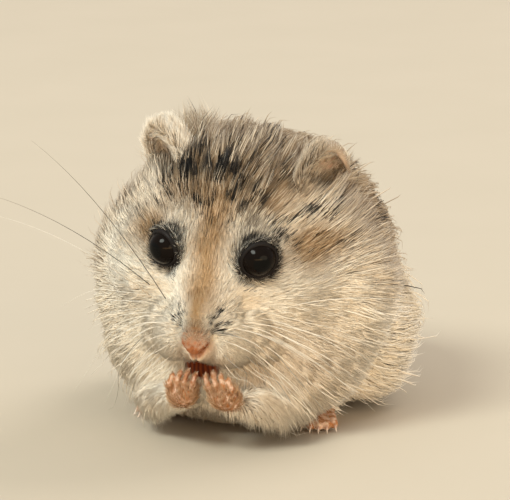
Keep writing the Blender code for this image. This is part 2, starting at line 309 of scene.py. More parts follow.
def eased_path(points, count):
    """A smooth curve through a few points."""
    points = np.array(points, float)
    where = np.linspace(0.0, len(points) - 1.0, count)
    ends = np.vstack((2 * points[0] - points[1], points, 2 * points[-1] - points[-2]))
    found = []
    for w in where:
        i = min(int(w), len(points) - 2)
        t = w - i
        a, b, c, d = ends[i : i + 4]
        found.append(
            0.5 * (2 * b + (c - a) * t + (2 * a - 5 * b + 4 * c - d) * t**2 + (3 * b - a - 3 * c + d) * t**3)
        )
    return np.array(found)


def gathered(shells):
    """Several (vertices, faces) as one."""
    vertices, faces, base = [], [], 0
    for v, f in shells:
        vertices.append(v)
        faces.append(f + base)
        base += len(v)
    return np.vstack(vertices), np.vstack(faces)


def blended(shells, voxel, smoothing):
    """Overlapping closed shells as one closed skin of quads."""
    lump = new_piece("lump", *gathered(shells))
    remesh = lump.modifiers.new("Blend", "REMESH")
    remesh.mode = "VOXEL"
    remesh.voxel_size = voxel * MM
    applied(lump)
    vertices, quads = points_of(lump.data), quads_of(lump.data)
    bpy.data.objects.remove(lump)
    return relaxed(vertices, quads, smoothing), quads


def relaxed(vertices, quads, rounds, share=0.5):
    """Each vertex moves towards the middle of its neighbours, a few times."""
    pairs = np.vstack((quads[:, (0, 1)], quads[:, (1, 2)], quads[:, (2, 3)], quads[:, (3, 0)]))
    count = len(vertices)
    times = np.bincount(pairs.ravel(), minlength=count)[:, None]
    for _ in range(rounds):
        total = np.column_stack(
            [
                np.bincount(pairs[:, 0], vertices[pairs[:, 1], k], count)
                + np.bincount(pairs[:, 1], vertices[pairs[:, 0], k], count)
                for k in range(3)
            ]
        )
        vertices = vertices + (total / times - vertices) * share
    return vertices


def normals_of(vertices, faces):
    """Unit normals at the vertices of quads or triangles."""
    a, b, c, d = (0, 2, 1, 3) if faces.shape[1] == 4 else (0, 1, 1, 2)
    across = vertices[faces[:, b]] - vertices[faces[:, a]]
    facing = np.cross(across, vertices[faces[:, d]] - vertices[faces[:, c]])
    total = np.zeros_like(vertices)
    for corner in range(faces.shape[1]):
        for k in range(3):
            total[:, k] += np.bincount(faces[:, corner], facing[:, k], len(vertices))
    return unit(total)


# ------------------------ coat measures


def hair_length(h, p):
    """Length of the coat's hairs, from their place in the head's frame (h) and the row frame (p)."""
    from_nose = np.linalg.norm(h - NOSE, axis=1)
    length = np.interp(from_nose, *HAIR_LENGTHS)
    length = np.maximum(length, 0.6 * ease(h[:, 2], -7.1, -5.9))
    for centre in EYES.values():
        away = np.linalg.norm(h - centre, axis=1) - EYE_RADIUS
        length = length * (0.35 + 0.65 * ease(away, 0.2, 3.2))
    aside = np.abs(h[:, 0])
    cheek = ease(aside, 3.0, 8.0) * ease(-h[:, 2], 1.0, 6.0)
    chin = ease(-h[:, 2], 9.5, 12.5) * ease(-h[:, 1], -2.0, 2.0) * (1.0 - ease(aside, 3.0, 6.0))
    pads = ease(aside, 1.0, 2.8) * (1.0 - ease(from_nose, 7.0, 11.0)) * ease(-h[:, 2], 2.0, 5.0)
    arms = blob(p - BODY_SHIFT, (0.0, -0.5, 6.5), (10.0, 6.0, 4.5))
    length = length * (1.0 + 0.25 * cheek + 0.9 * pads + 0.8 * arms) * (1.0 - 0.35 * chin)
    under = 1.0 - ease(p[:, 2], 1.0, 6.0)
    return length * (1.0 - 0.45 * under)


def coat_rise(h):
    """Share of its length that a hair stands out from the skin."""
    crown = blob(h, (0.0, 10.0, 9.0), (11.0, 9.0, 7.0))
    body = ease(h[:, 1], 8.0, 20.0)
    return 0.25 + 0.04 * crown + 0.02 * body


# ------------------------ skin


def solid_shell(node):
    """A CAD node as (vertices, triangles), grown a little so that it meets its neighbours."""
    shape = bmesh.new()
    shape.from_mesh(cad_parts[node].data)
    bmesh.ops.remove_doubles(shape, verts=shape.verts, dist=1e-6)
    bmesh.ops.triangulate(shape, faces=shape.faces)
    shape.normal_update()
    vertices = np.array([vertex.co / MM + vertex.normal * CLOSING for vertex in shape.verts])
    faces = np.array([[vertex.index for vertex in face.verts] for face in shape.faces])
    shape.free()
    return vertices, faces


FLESH = (
    ["head", "neck", "trunk", "lower_jaw", "nose", "tail"]
    + [f"{part}_{letter}" for part in ("hind_leg", "foreleg") for letter in "lr"]
)
FINE = [f"{part}_{letter}" for part in ("ear", "forepaw", "hind_foot") for letter in "lr"]


def main_skin():
    """Head, neck, trunk, legs and tail as one closed skin, drawn in by the depth of the coat."""
    shells = [solid_shell(node) for node in FLESH if node != "nose"]
    for letter, side in SIDES.items():
        # The cheek, the ear's root, the wrist and the foot are filled out where the fine shells meet them.
        shells.append(ball((side * 3.0, -4.0, -8.5), (2.9, 3.0, 2.6)))
        shells.append(ball((side * 5.6, -3.4, -10.6), (3.0, 3.0, 2.9)))
        shells.append(solid_shell(f"eye_{letter}"))
        root, apex = np.array(EARS[letter][0]), np.array(EARS[letter][1])
        shells.append(ball(root + (apex - root) * 0.02, (2.3, 2.0, 2.7), detail=2))
        wrist = np.array((PAW_MIDDLE + side * 3.0, -3.0, 6.4)) + BODY_SHIFT
        shells.append(ball(wrist, (1.6, 1.8, 1.6), detail=2, head=False))
        foot = np.array((side * 9.8, 14.6, 1.5)) + BODY_SHIFT
        shells.append(ball(foot, (2.2, 5.0, 2.3), detail=2, head=False))
    vertices, quads = blended(shells, SKIN_VOXEL, 10)
    h = to_head(vertices)
    depth = hair_length(h, vertices) * coat_rise(h) * 1.2 + CLOSING * 0.8
    for root, _, _ in EARS.values():
        depth = depth * (1.0 - 0.75 * blob(h, root, (4.0, 4.0, 4.0)))
    for _ in range(DRAW_STEPS):
        vertices = vertices - normals_of(vertices, quads) * (depth / DRAW_STEPS)[:, None]
        vertices = relaxed(vertices, quads, 1, 0.4)
    return sunk_at_eyes(vertices), quads


def eye_look(letter):
    """The way an eye looks, in the head's frame."""
    return unit(np.array(EYE_LOOK) * np.array((SIDES[letter], 1.0, 1.0)))


def eye_angles(h, letter):
    """Offset and distance from an eye's centre, and the angle from the way it looks, in the head's frame."""
    offset = h - EYES[letter]
    distance = np.linalg.norm(offset, axis=1)
    angle = np.degrees(np.arccos(np.clip(unit(offset) @ eye_look(letter), -1.0, 1.0)))
    return offset, distance, angle


def sunk_at_eyes(vertices):
    """Lays the skin behind each eyeball, where the lids meet it."""
    h = to_head(vertices)
    for letter in SIDES:
        offset, distance, angle = eye_angles(h, letter)
        share = (1.0 - ease(angle, 70.0, 105.0)) * (1.0 - ease(distance, 3.6, 5.0))
        wanted = np.minimum(distance, EYE_RADIUS - 0.35)
        size = distance + (wanted - distance) * share
        h = EYES[letter] + unit(offset) * size[:, None]
    return from_head(h)


def lid(letter):
    """A furless rim that hugs the eyeball, a little wider at the corners."""
    side = SIDES[letter]
    look = eye_look(letter)
    upward = unit(tangent(np.array((0.0, 0.0, 1.0)), look))
    aside = np.cross(upward, look) * side
    profile = (  # degrees past the opening, and height over the eyeball
        (0.0, -0.05), (0.4, 0.10), (2.5, 0.20), (6.5, LID_THICKNESS), (12.0, LID_THICKNESS + 0.02),
        (19.0, 0.20), (28.0, 0.06), (40.0, -0.25), (44.0, -0.7), (20.0, -0.8), (5.0, -0.6),
    )
    turns = np.linspace(0.0, 2.0 * math.pi, ROUND, endpoint=False)
    rings = []
    for turn in turns:
        corner = abs(math.cos(turn - 0.25)) ** 6 * 5.0
        brow = 3.0 * max(0.0, math.sin(turn)) ** 2
        around = math.cos(turn) * aside + math.sin(turn) * upward
        ring = []
        for past, height in profile:
            angle = math.radians(LID_OPENING + corner - brow + past)
            fold = 0.05 * math.sin(3.0 * turn + past * 0.3) * (past > 8.0)
            reach = EYE_RADIUS + height + fold
            ring.append(EYES[letter] + reach * (math.cos(angle) * look + math.sin(angle) * around))
        rings.append(ring)
    rings = np.array(rings)
    count, wide = rings.shape[:2]
    faces = []
    for i in range(count):
        j = (i + 1) % count
        for k in range(wide):
            m = (k + 1) % wide
            faces.append((i * wide + k, i * wide + m, j * wide + m, j * wide + k)[:: int(side)])
    return from_head(rings.reshape(-1, 3)), np.array(faces)


def muzzle():
    """Nose pad, upper lips and the bridge's end, finer than the rest of the skin."""
    tilt = Matrix.Rotation(math.radians(-30), 3, "X")
    shells = [
        ball((0.0, -8.8, -6.8), (1.75, 1.15, 1.9), tilt),  # the nose pad
        ball((0.0, -7.7, -7.6), (1.6, 1.6, 2.1)),
        ball((0.0, -8.7, -8.5), (1.1, 1.0, 1.45)),  # between the nostrils and the lip
    ]
    for t in np.linspace(0.0, 1.0, 7):
        bridge = np.array((0.0, -3.0, -5.1)) * (1 - t) + np.array((0.0, -7.2, -6.3)) * t
        shells.append(ball(bridge, (3.3 - 1.3 * t,) * 3, detail=2))
    for side in SIDES.values():
        shells.append(ball((side * 2.6, -5.3, -8.7), (2.9, 3.2, 2.8)))  # the whisker pad
        shells.append(ball((side * 3.7, -3.4, -8.9), (2.8, 3.0, 2.7)))
        shells.append(ball((side * 1.1, -7.6, -9.4), (1.25, 1.0, 1.3)))  # the upper lip
    vertices, quads = blended(shells, FINE_VOXEL, 5)
    h = to_head(vertices)
    facing = normals_of(vertices, quads) @ HEAD_TURN
    on_nose = 1.0 - ease(nose_distance(h), 1.0, 1.3)
    h[:, 0] *= 1.0 - 0.22 * on_nose * ease(-h[:, 2], 7.0, 8.8)
    h = h + facing * (on_nose * (0.035 * ripple(h, 0.30, 41) - 0.10 * near(h[:, 0], 0.7)))[:, None]
    for side in SIDES.values():
        for centre, width, sink in NOSTRIL:
            away = np.linalg.norm(h - np.array(centre) * np.array((side, 1, 1)), axis=1)
            h = h - facing * (sink * near(away, width))[:, None]
        wing = np.linalg.norm(h - np.array((side * 1.45, -9.0, -8.0)), axis=1)
        h = h + facing * (0.14 * near(wing, 0.4))[:, None]
    front = ease(-h[:, 1], 6.2, 7.6)
    groove = near(h[:, 0], 0.22) * (1.0 - ease(h[:, 2], -8.7, -8.3)) * front
    h = h - facing * (0.34 * groove)[:, None]
    crease = near(h[:, 0], 0.16) * ease(h[:, 2], -8.3, -7.9) * (1.0 - ease(h[:, 2], -7.0, -6.4))
    h = h - facing * (0.16 * crease * ease(-h[:, 1], 8.6, 9.2))[:, None]
    return from_head(h), quads


def ear_frame(letter):
    """Middle of the ear's leaf and its directions across, up and out of the hollow, in the head's frame."""
    root, apex, facing = (np.array(value) for value in EARS[letter])
    up = unit(apex - root)
    out = unit(facing - up * (facing @ up))
    return apex - up * (EAR_HEIGHT / 2), np.cross(up, out), up, out


def ear_place(h, letter):
    """Places on an ear: across and up it, 1 at its edge, how far out of its hollow, and from its middle."""
    middle, across, up, out = ear_frame(letter)
    offset = h - middle
    x, y = offset @ across / (EAR_WIDTH / 2), offset @ up / (EAR_HEIGHT / 2)
    return x, y, offset @ out, np.hypot(x, y)


def ear_hollow(letter):
    """Rings from near the middle of an ear's hollow side to the end of its rolled rim."""
    side = SIDES[letter]
    middle, across, up, out = ear_frame(letter)
    turns = np.linspace(0.0, 2.0 * math.pi, ROUND, endpoint=False)
    top = np.clip(np.sin(turns + 0.5) * 0.75 + 0.25, 0.0, 1.0) ** 1.5
    wide = EAR_WIDTH / 2 * (1.0 + 0.05 * np.cos(2 * turns))
    tall = EAR_HEIGHT / 2 * (1.0 + 0.03 * np.cos(3 * (turns - math.pi / 2)))
    path = []
    for share in np.linspace(0.0, EAR_FLAT_SHARE, EAR_RINGS + 1)[1:]:
        ridge = 0.22 * np.sin(turns * 2 + side) * share * (1 - share) * 4
        path.append((wide * share, tall * share, -EAR_CUP * (1.0 - share**2.2) + ridge))
    roll = np.radians(12.0 + 130.0 * top)
    reach = 0.2 * wide + 0.75 * top
    for k in range(EAR_RINGS):
        angle = RIM_SLOPE + roll * (k + 0.5) / EAR_RINGS
        outward = np.cos(angle) * reach / EAR_RINGS
        last = path[-1]
        path.append((last[0] + outward, last[1] + outward, last[2] + np.sin(angle) * reach / EAR_RINGS))
    wide, tall, height = np.array(path).transpose(1, 0, 2)[..., None]
    x = wide * np.cos(turns)[:, None] * side
    return middle + x * across + tall * np.sin(turns)[:, None] * up + height * out


def ear(letter):
    """A cupped leaf with a rolled rim: down the hollow side to its middle, and back up the outer side."""
    middle, _, _, out = ear_frame(letter)
    hollow_side = ear_hollow(letter)
    along = unit(np.gradient(hollow_side, axis=0))
    around_leaf = unit(np.roll(hollow_side, -1, axis=1) - np.roll(hollow_side, 1, axis=1))
    backward = unit(np.cross(along, around_leaf))
    if backward[0].mean(axis=0) @ out > 0:
        backward = -backward
    wall = np.linspace(EAR_WALL, EAR_WALL * 1.15, len(hollow_side))[:, None, None]
    outer_side = hollow_side + backward * wall
    edge = (hollow_side[-1] + outer_side[-1]) / 2 + along[-1] * EAR_WALL * 0.45
    rings = list(hollow_side) + [edge] + list(outer_side[::-1])
    poles = np.array([middle - out * EAR_CUP, middle - out * (EAR_CUP + EAR_WALL)])
    vertices = np.vstack(rings + [poles])
    count = len(rings)
    quads, ends = [], []
    for i in range(ROUND):
        j = (i + 1) % ROUND
        for k in range(count - 1):
            quads.append((k * ROUND + i, k * ROUND + j, (k + 1) * ROUND + j, (k + 1) * ROUND + i))
        ends.append((count * ROUND, j, i))
        ends.append((count * ROUND + 1, (count - 1) * ROUND + i, (count - 1) * ROUND + j))
    triangles = np.vstack((split(np.array(quads)), np.array(ends)))
    if normals_of(vertices, triangles)[2] @ out < 0:
        triangles = triangles[:, ::-1]
    return from_head(vertices), triangles


def forepaw_paths(letter):
    """Each finger's path, from the palm to its tip, in the row frame."""
    side = SIDES[letter]
    palm = np.array((PAW_MIDDLE + side * 2.6, -4.9, PALM_HEIGHT)) + BODY_SHIFT
    found = []
    for i in range(4):
        spread = (i - 1.5) * FINGER_PITCH
        tall = FINGER_TALLNESS[i]
        base = palm + np.array((side * (spread * 0.85 - 0.1), -0.5, 0.4))
        knuckle = palm + np.array((side * (spread * 0.97 - 0.12), -1.0, 1.25 * tall))
        bend = knuckle + np.array((-side * 0.22, -0.18, 0.80 * tall))
        tip = bend + np.array((-side * 0.25, 0.40, 0.72 * tall))
        found.append(eased_path((base, knuckle, bend, tip), 12))
    return palm, found


def forepaw(letter):
    """A forepaw held up at the mouth, with four fingers and the stub of a thumb."""
    side = SIDES[letter]
    palm, fingers = forepaw_paths(letter)
    shells = [ball(palm, (1.75, 1.25, 1.75), head=False)]
    shells.append(ball(palm + np.array((side * 0.3, 0.8, -0.9)), (1.5, 1.3, 1.3), head=False))
    radii = np.interp(np.linspace(0, 1, 12), *FINGER_RADII)
    shells += [tube(path, radii) for path in fingers]
    thumb = palm + np.array((-side * 1.5, 0.2, 0.8))
    shells.append(ball(thumb, (0.5, 0.5, 0.6), detail=2, head=False))
    return blended(shells, FINE_VOXEL, 2)


def foot_frame(letter):
    """A hind foot's middle, and its turn outwards."""
    side = SIDES[letter]
    turn = np.array(Matrix.Rotation(side * math.radians(HIND_FOOT_TURN), 3, "Z"))
    return np.array((side * 9.8, 13.4, 0.0)) + BODY_SHIFT, turn


def hind_toes(letter):
    """Each toe's path, from its root to its tip, in the row frame."""
    place, turn = foot_frame(letter)
    found = []
    for i in range(5):
        spread = i - 2
        reach = 1.9 - 0.22 * spread * spread
        points = [
            (spread * 0.70, -2.2, 1.15),
            (spread * 0.86, -3.5 - reach * 0.4, 1.02),
            (spread * 1.0, -3.75 - reach, 0.62),
        ]
        found.append(np.array(eased_path(points, 10)) @ turn.T + place)
    return found


def hind_foot(letter):
    """A long flat foot on the floor, with five toes."""
    place, turn = foot_frame(letter)
    half = HIND_FOOT_LENGTH / 2
    shells = []
    for centre, radii in (
        ((0, 1.2, 1.45), (HIND_FOOT_WIDTH / 2 - 0.1, half - 0.9, 1.5)),  # the sole
        ((0, 3.4, 2.0), (HIND_FOOT_WIDTH / 2 - 0.1, 2.5, 2.3)),  # the heel
        ((0, -1.8, 1.15), (1.9, 1.5, 1.0)),  # the toes' roots
    ):
        vertices, faces = ball((0, 0, 0), radii, head=False)
        shells.append(((vertices + np.array(centre)) @ turn.T + place, faces))
    radii = np.interp(np.linspace(0, 1, 10), *TOE_RADII)
    shells += [tube(path, radii) for path in hind_toes(letter)]
    vertices, quads = blended(shells, FOOT_VOXEL, 3)
    vertices[:, 2] = np.maximum(vertices[:, 2], FLOOR_GAP)
    return vertices, quads


def split(quads):
    """Quads as triangles. Triangles stay as they are."""
    return np.vstack((quads[:, (0, 1, 2)], quads[:, (0, 2, 3)])) if quads.shape[1] == 4 else quads


BODY_PART, MUZZLE_PART, LID_PART, EAR_PART, PAW_PART, FOOT_PART = range(6)


def whole_skin():
    """The skin's vertices and triangles, and each vertex's part."""
    shells, parts = [], []
    for part, (vertices, faces) in (
        [(BODY_PART, main_skin()), (MUZZLE_PART, muzzle())]
        + [(LID_PART, lid(letter)) for letter in SIDES]
        + [(EAR_PART, ear(letter)) for letter in SIDES]
        + [(PAW_PART, forepaw(letter)) for letter in SIDES]
        + [(FOOT_PART, hind_foot(letter)) for letter in SIDES]
    ):
        shells.append((vertices, split(faces)))
        parts.append(np.full(len(vertices), part))
    vertices, triangles = gathered(shells)
    return vertices, triangles, np.concatenate(parts)


# ------------------------ markings


def nose_distance(h):
    """About 1 on the surface of the nose pad, and less inside it."""
    return reach_of(h, (0.0, -9.0, -7.1), (1.85, 1.4, 1.9))


# Middles and radii of patches in the head's frame. Those that both sides share are given for the left.
DARK_TUFTS = (
    ((-4.8, 6.6, 7.2), (2.0, 2.2, 1.6)),
    ((-0.4, 7.2, 8.7), (1.3, 2.2, 1.5)),
    ((2.7, 7.2, 8.3), (0.8, 1.5, 1.1)),
    ((4.7, 5.9, 6.9), (1.2, 1.8, 1.4)),
    ((9.2, 10.4, 7.6), (1.2, 1.2, 1.1)),
)
BROW = ((4.7, 2.0, 4.0), (2.3, 3.8, 2.5))
CROWN = ((0.0, 11.0, 9.5), (11.5, 8.0, 5.6))
TEMPLES = (((12.6, 5.2, -0.6), (4.4, 4.0, 2.0)), ((-9.8, 3.8, 0.2), (3.2, 3.4, 2.0)))
STREAKS = (((8.2, 3.2, 1.1), (2.4, 2.0, 1.1)), ((12.0, 7.8, 2.5), (3.8, 3.0, 0.75)))
PALE_CHEEKS = (((14.7, 8.0, -6.2), (4.5, 5.0, 3.4)), ((-15.5, 6.0, -6.5), (4.5, 6.0, 6.0)))
# Painted warm light low on the left cheek, where warm light bounces up onto it.
PAINTED_WARM_LIGHT = ((9.5, -1.0, -15.0), (7.5, 7.0, 6.0))
WHISKER_PAD = ((3.6, -5.0, -9.5), (3.0, 3.0, 2.4))
WHISKER_ROOTS = ((2.7, -6.3, -5.3), (1.5, 1.9, 1.9))
EAR_FRONT = ((7.8, 9.4, 7.4), (2.4, 2.6, 2.4))
LIPS = ((1.1, -7.9, -9.8), (1.8, 1.6, 1.3))
# Heights on the head, and how wide the sandy stripe is there.
STRIPE = ((-7.0, -5.0, -2.0, 1.0, 4.0, 7.0), (1.0, 1.5, 1.9, 2.1, 2.5, 5.0))


def patches(points, places):
    """Several blobs together."""
    return sum(blob(points, centre, radii) for centre, radii in places)


def eye_liner(h):
    """Dark hairs around each eye."""
    found = np.zeros(len(h))
    for letter in SIDES:
        _, distance, _ = eye_angles(h, letter)
        found = np.maximum(found, near(np.maximum(distance - EYE_RADIUS - 0.5, 0.0), 0.75))
    return 0.95 * found


def bare_share(h, both, grizzle):
    """How far the flesh shows on the nose, less where grizzled hairs cover it, and on the lips."""
    away = nose_distance(h)
    bare = np.maximum(1.0 - ease(away, 0.95, 1.25), 0.6 * (1.0 - ease(away, 1.0, 1.6)))
    return np.maximum(bare * (1.0 - 0.6 * grizzle), 0.4 * blob(both, *LIPS))


def markings(p, part):
    """How much of each colour a place has: ochre, grey, dark and bare skin. What is left is cream. The ochre
    share also holds painted warm light, low on the left cheek.
    """
    h = to_head(p)
    wander = ripple(h, 2.2, 11) * 0.8
    x, y, z = h[:, 0] + wander * 0.35, h[:, 1], h[:, 2] + wander * 0.4
    aside = np.abs(x)
    spot = np.column_stack((x, y, z))
    both = mirrored(spot)

    # A sandy stripe runs up the bridge of the nose and widens over the forehead, between pale brows.
    stripe = near(aside, np.interp(z, *STRIPE)) * ease(z, -7.2, -5.4) * (1.0 - ease(y, 5.0, 12.0))
    brows = np.clip(blob(both, *BROW) * 1.2, 0.0, 1.0)
    # The crown and the back are darker, with a wavy lower edge. Whitish cheeks cut into them.
    height = p[:, 2] + ripple(p, 6.0, 12) * 1.6
    back = ease(height, 13.0 + 2.0 * ease(-p[:, 1], 0, 12), 22.0) * ease(p[:, 1], -12.0, -3.0)
    back = back * (1.0 - 0.8 * np.clip(patches(spot, PALE_CHEEKS), 0.0, 1.0))
    saddle = np.clip(back + blob(spot, *CROWN) * 1.25, 0.0, 1.0)
    # A tan patch lies behind and below each eye, with dark streaks over it.
    temple = np.clip(patches(spot, TEMPLES) * 1.4, 0.0, 1.0)
    streak = patches(both, STREAKS)
    # Dark hairs lie in a broad band over the forehead, thinner on its left side, and in front of the ears.
    up_forehead = 0.83 * y + 0.55 * z + 0.9 * wander
    forehead = 1.0 - ease(y, 14.0, 18.0)
    band = ease(up_forehead, 4.2, 7.4) * (1.0 - ease(up_forehead, 10.8, 14.5)) * (1.0 - ease(aside, 6.0, 9.0))
    warm_side = ease(x, 5.0, 6.6) * (1.0 - ease(x, 9.0, 11.0)) * forehead * ease(up_forehead, 7.0, 9.0)
    sprinkle = ease(up_forehead, -1.0, 5.0) * (1.0 - ease(up_forehead, 7.0, 9.0))
    band, sprinkle = band * forehead, sprinkle * (1.0 - ease(aside, 5.0, 8.0)) * forehead
    before_ears = blob(both, *EAR_FRONT) * (1.0 - 0.5 * warm_side)
    grizzle = (1.0 - ease(nose_distance(h), 1.2, 2.2)) * ease(h[:, 2] + 0.5 * ripple(h, 0.4, 35), -7.1, -5.7)

    ochre = (stripe + temple) * 0.95 + saddle * 0.55 + back * 0.2 + band * (0.55 + 0.4 * near(aside, 3.5))
    # Painted warm light: the left lower cheek is warmed through the ochre share.
    ochre = ochre + 0.42 * blob(spot, *PAINTED_WARM_LIGHT) + 0.14 * blob(both, *WHISKER_PAD) + 0.25 * warm_side
    ochre = np.clip(ochre, 0, 1) * (1 - 0.9 * brows)

    grey = saddle * 0.9 - back * 0.15 + brows * (0.25 + 0.6 * ease(x, 0.0, 2.0)) + temple * 0.35
    grey = np.clip(grey + 0.3 * before_ears + band * 0.3, 0, 1)
    grey = np.clip(grey + 0.5 * grizzle, 0.0, 1.0)

    clumps = 0.12 + 0.88 * ease(ripple(h * np.array((1.0, 0.6, 0.6)), 1.1, 31), -0.15, 0.35)
    dark = 0.55 * band * clumps + 0.40 * sprinkle * clumps + 0.27 * saddle
    dark = dark * (1.0 - 0.7 * warm_side) + patches(spot, DARK_TUFTS) * (0.46 + 0.42 * clumps)
    dark = dark + streak * np.where(h[:, 0] > 0, 1.1, 0.5) + 0.28 * temple
    peppered = blob(both, *WHISKER_ROOTS) * ease(ripple(h, 0.55, 33), -0.1, 0.4)
    dark = np.clip(dark, 0, 1) * (1 - 0.8 * brows) + 0.38 * before_ears + 1.5 * peppered
    dark = np.maximum(np.clip(np.maximum(dark, eye_liner(h)), 0.0, 1.0), 0.35 * grizzle)

    bare = bare_share(h, both, grizzle)
    bare[(part == PAW_PART) | (part == FOOT_PART)] = 1.0
    bare[part == EAR_PART] = 0.8
    return np.clip(np.column_stack((ochre, grey, dark, bare)), 0.0, 1.0)


# ------------------------ the coat


def lie_of_coat(p, h, normals):
    """Which way the hairs run over the skin: away from the nose and the eyes, then back and down."""
    away = unit(h - (NOSE + np.array((0.0, 0.6, -0.6)))) @ HEAD_TURN.T
    low = ease(-h[:, 2], 2.0, 9.0) * ease(-h[:, 1], -14.0, 0.0)
    side_of_body = ease(h[:, 1], 4.0, 22.0)
    rump = ease(p[:, 1], 4.0, 21.0)
    lip = ease(np.abs(h[:, 0]), 1.5, 3.5) * ease(-h[:, 2], 7.0, 9.5) * ease(-h[:, 1], 2.0, 5.0)
    fall = (0.55 * low + 0.7 * lip + 0.30 * side_of_body + 1.1 * rump)[:, None] * np.array((0.0, 0.0, -1.0))
    field = away + fall
    field += 0.10 * np.column_stack([ripple(p, 7.0, 21 + k) for k in range(3)])
    field = tangent(field, normals)
    facing = normals @ HEAD_TURN
    for letter in SIDES:
        offset, distance, _ = eye_angles(h, letter)
        outward = unit(tangent(unit(offset), facing)) @ HEAD_TURN.T
        share = (1.0 - ease(distance, EYE_RADIUS + 0.6, EYE_RADIUS + 3.0))[:, None]
        inward = np.minimum(dot(field, outward), 0.0)
        field = field - outward * inward * share * 1.1 + outward * 0.25 * share
    return unit(tangent(field, normals))


def hair_density(h, p, part):
    """Hairs on a square millimetre."""
    density = np.interp(np.linalg.norm(h - NOSE, axis=1), *HAIR_DENSITIES)
    density = density * (1.0 - 0.35 * ease(-h[:, 0], 6.0, 12.0))
    under = 1.0 - ease(p[:, 2], 2.0, 7.0)
    density = density * (1.0 - 0.5 * under * (part == BODY_PART))
    for letter in SIDES:
        _, distance, angle = eye_angles(h, letter)
        density = density * ~((distance < EYE_RADIUS + 0.75) & (angle < LID_OPENING + 12.0))
    philtrum = reach_of(h, (0.0, -9.6, -8.4), (1.45, 1.3, 1.45)) < 1.0
    density = density * ~philtrum * (mouth_share(h) < 0.45) * (nostril_share(h) < 0.12)
    density = np.where(part == PAW_PART, PAW_DENSITY, density)
    density = np.where(part == FOOT_PART, FOOT_DENSITY, density)
    density = np.where(part == EAR_PART, EAR_DENSITY, density)
    # The left ear is thinly haired in its hollow and on its rim, apart from the side towards the crown.
    x, y, out, edge = ear_place(h, "l")
    low = 1.0 - ease(x * EAR_WIDTH / 4 + y * EAR_HEIGHT / 2, -2.0, 2.0)
    thin = np.maximum((out > -EAR_CUP) * (1.0 - 0.6 * low), ease(edge, 0.7, 0.95)) * (1.0 - crownward(h, "l"))
    return np.where((part == EAR_PART) & (h[:, 0] > 0), density * (1.0 - 0.75 * thin), density)


def is_inside(tree, point, ahead):
    """Whether a line from the point goes out through the surface more often than it comes in."""
    start, depth = point, 0
    while True:
        place, facing, _, _ = tree.ray_cast(start, ahead)
        if place is None:
            return depth > 0
        depth += 1 if facing.dot(ahead) > 0.0 else -1
        start = place + ahead * 1e-3


def buried(vertices, triangles, kind):
    """Triangles that lie inside another of the skin's shells."""
    middle = vertices[triangles].mean(axis=1)
    on_muzzle = np.linalg.norm(to_head(middle) - NOSE, axis=1) < MUZZLE_REACH
    ahead = Vector(from_head((0.0, -0.85, 0.53)) - EYE_MIDDLE).normalized()
    found = np.zeros(len(triangles), bool)
    for inner, outer in ((BODY_PART, MUZZLE_PART), (MUZZLE_PART, BODY_PART), (EAR_PART, BODY_PART)):
        tree = BVHTree.FromPolygons(vertices.tolist(), triangles[kind == outer].tolist())
        for k in np.flatnonzero((kind == inner) & (on_muzzle | (inner == EAR_PART))):
            depth = tree.find_nearest(middle[k])[3]
            found[k] = depth > SKIN_DEPTH and is_inside(tree, Vector(middle[k]), ahead)
    return found


def nostril_share(h):
    """1 in the middle of either nostril."""
    found = np.zeros(len(h))
    for centre, width, sink in NOSTRIL:
        away = np.linalg.norm(mirrored(h) - np.array(centre), axis=1)
        found = np.maximum(found, near(away, width * 1.3) * min(1.0, sink * 1.8))
    return found


def mouth_share(h):
    """1 inside the open mouth, between the upper lip and the chin."""
    return blob(h, MOUTH, (2.7, 2.2, 1.5))


def unwrapped(piece):
    """Lays the skin's own surface out on the map and gives each loop's place there."""
    bpy.context.view_layer.objects.active = piece
    piece.select_set(True)
    piece.data.uv_layers.new(name=MAP_NAME)
    bpy.ops.object.mode_set(mode="EDIT")
    bpy.ops.mesh.select_all(action="SELECT")
    bpy.ops.uv.smart_project(angle_limit=math.radians(66), island_margin=0.002)
    bpy.ops.object.mode_set(mode="OBJECT")
    piece.select_set(False)
    found = np.empty(len(piece.data.loops) * 2, np.float32)
    piece.data.uv_layers[MAP_NAME].data.foreach_get("uv", found)
    return found.reshape(-1, 2)


def scattered(vertices, triangles, normals, part, places, rng):
    """Random roots over the skin: (points, normals, part, place on the map)."""
    a, b, c = (vertices[triangles[:, k]] for k in range(3))
    area = np.linalg.norm(np.cross(b - a, c - a), axis=1) / 2
    middle = (a + b + c) / 3
    kind = part[triangles[:, 0]]
    wanted = area * hair_density(to_head(middle), middle, kind) * ~buried(vertices, triangles, kind)
    count = np.floor(wanted + rng.random(len(wanted))).astype(int)
    which = np.repeat(np.arange(len(triangles)), count)
    u, v = rng.random((2, len(which)))
    flip = u + v > 1
    u[flip], v[flip] = 1 - u[flip], 1 - v[flip]
    w = 1 - u - v
    corners = triangles[which]
    shares = np.stack((w, u, v), axis=1)[:, :, None]
    point = (vertices[corners] * shares).sum(axis=1)
    facing = unit((normals[corners] * shares).sum(axis=1))
    place = (places.reshape(-1, 3, 2)[which] * shares).sum(axis=1)
    return point, facing, kind[which], place


def locks(points, spacing, rng):
    """Gathers roots into locks: for each root, the index of the root at its lock's middle."""
    centres = np.flatnonzero(rng.random(len(points)) < spacing)
    tree = KDTree(len(centres))
    for i, k in enumerate(centres):
        tree.insert(points[k], i)
    tree.balance()
    return np.array([centres[tree.find(point)[1]] for point in points])


def hair_paths(root, normal, lie, length, angle, bend, segments):
    """Points along each hair. It leaves the skin steeper than its mean angle, and bends down, in radians."""
    points = [root - normal * ROOT_DEPTH]
    for k in range(segments):
        now = angle + bend * (0.5 - k / max(1, segments - 1))
        step = np.cos(now)[:, None] * lie + np.sin(now)[:, None] * normal
        points.append(points[-1] + step * (length / segments)[:, None])
    return np.stack(points, axis=1)


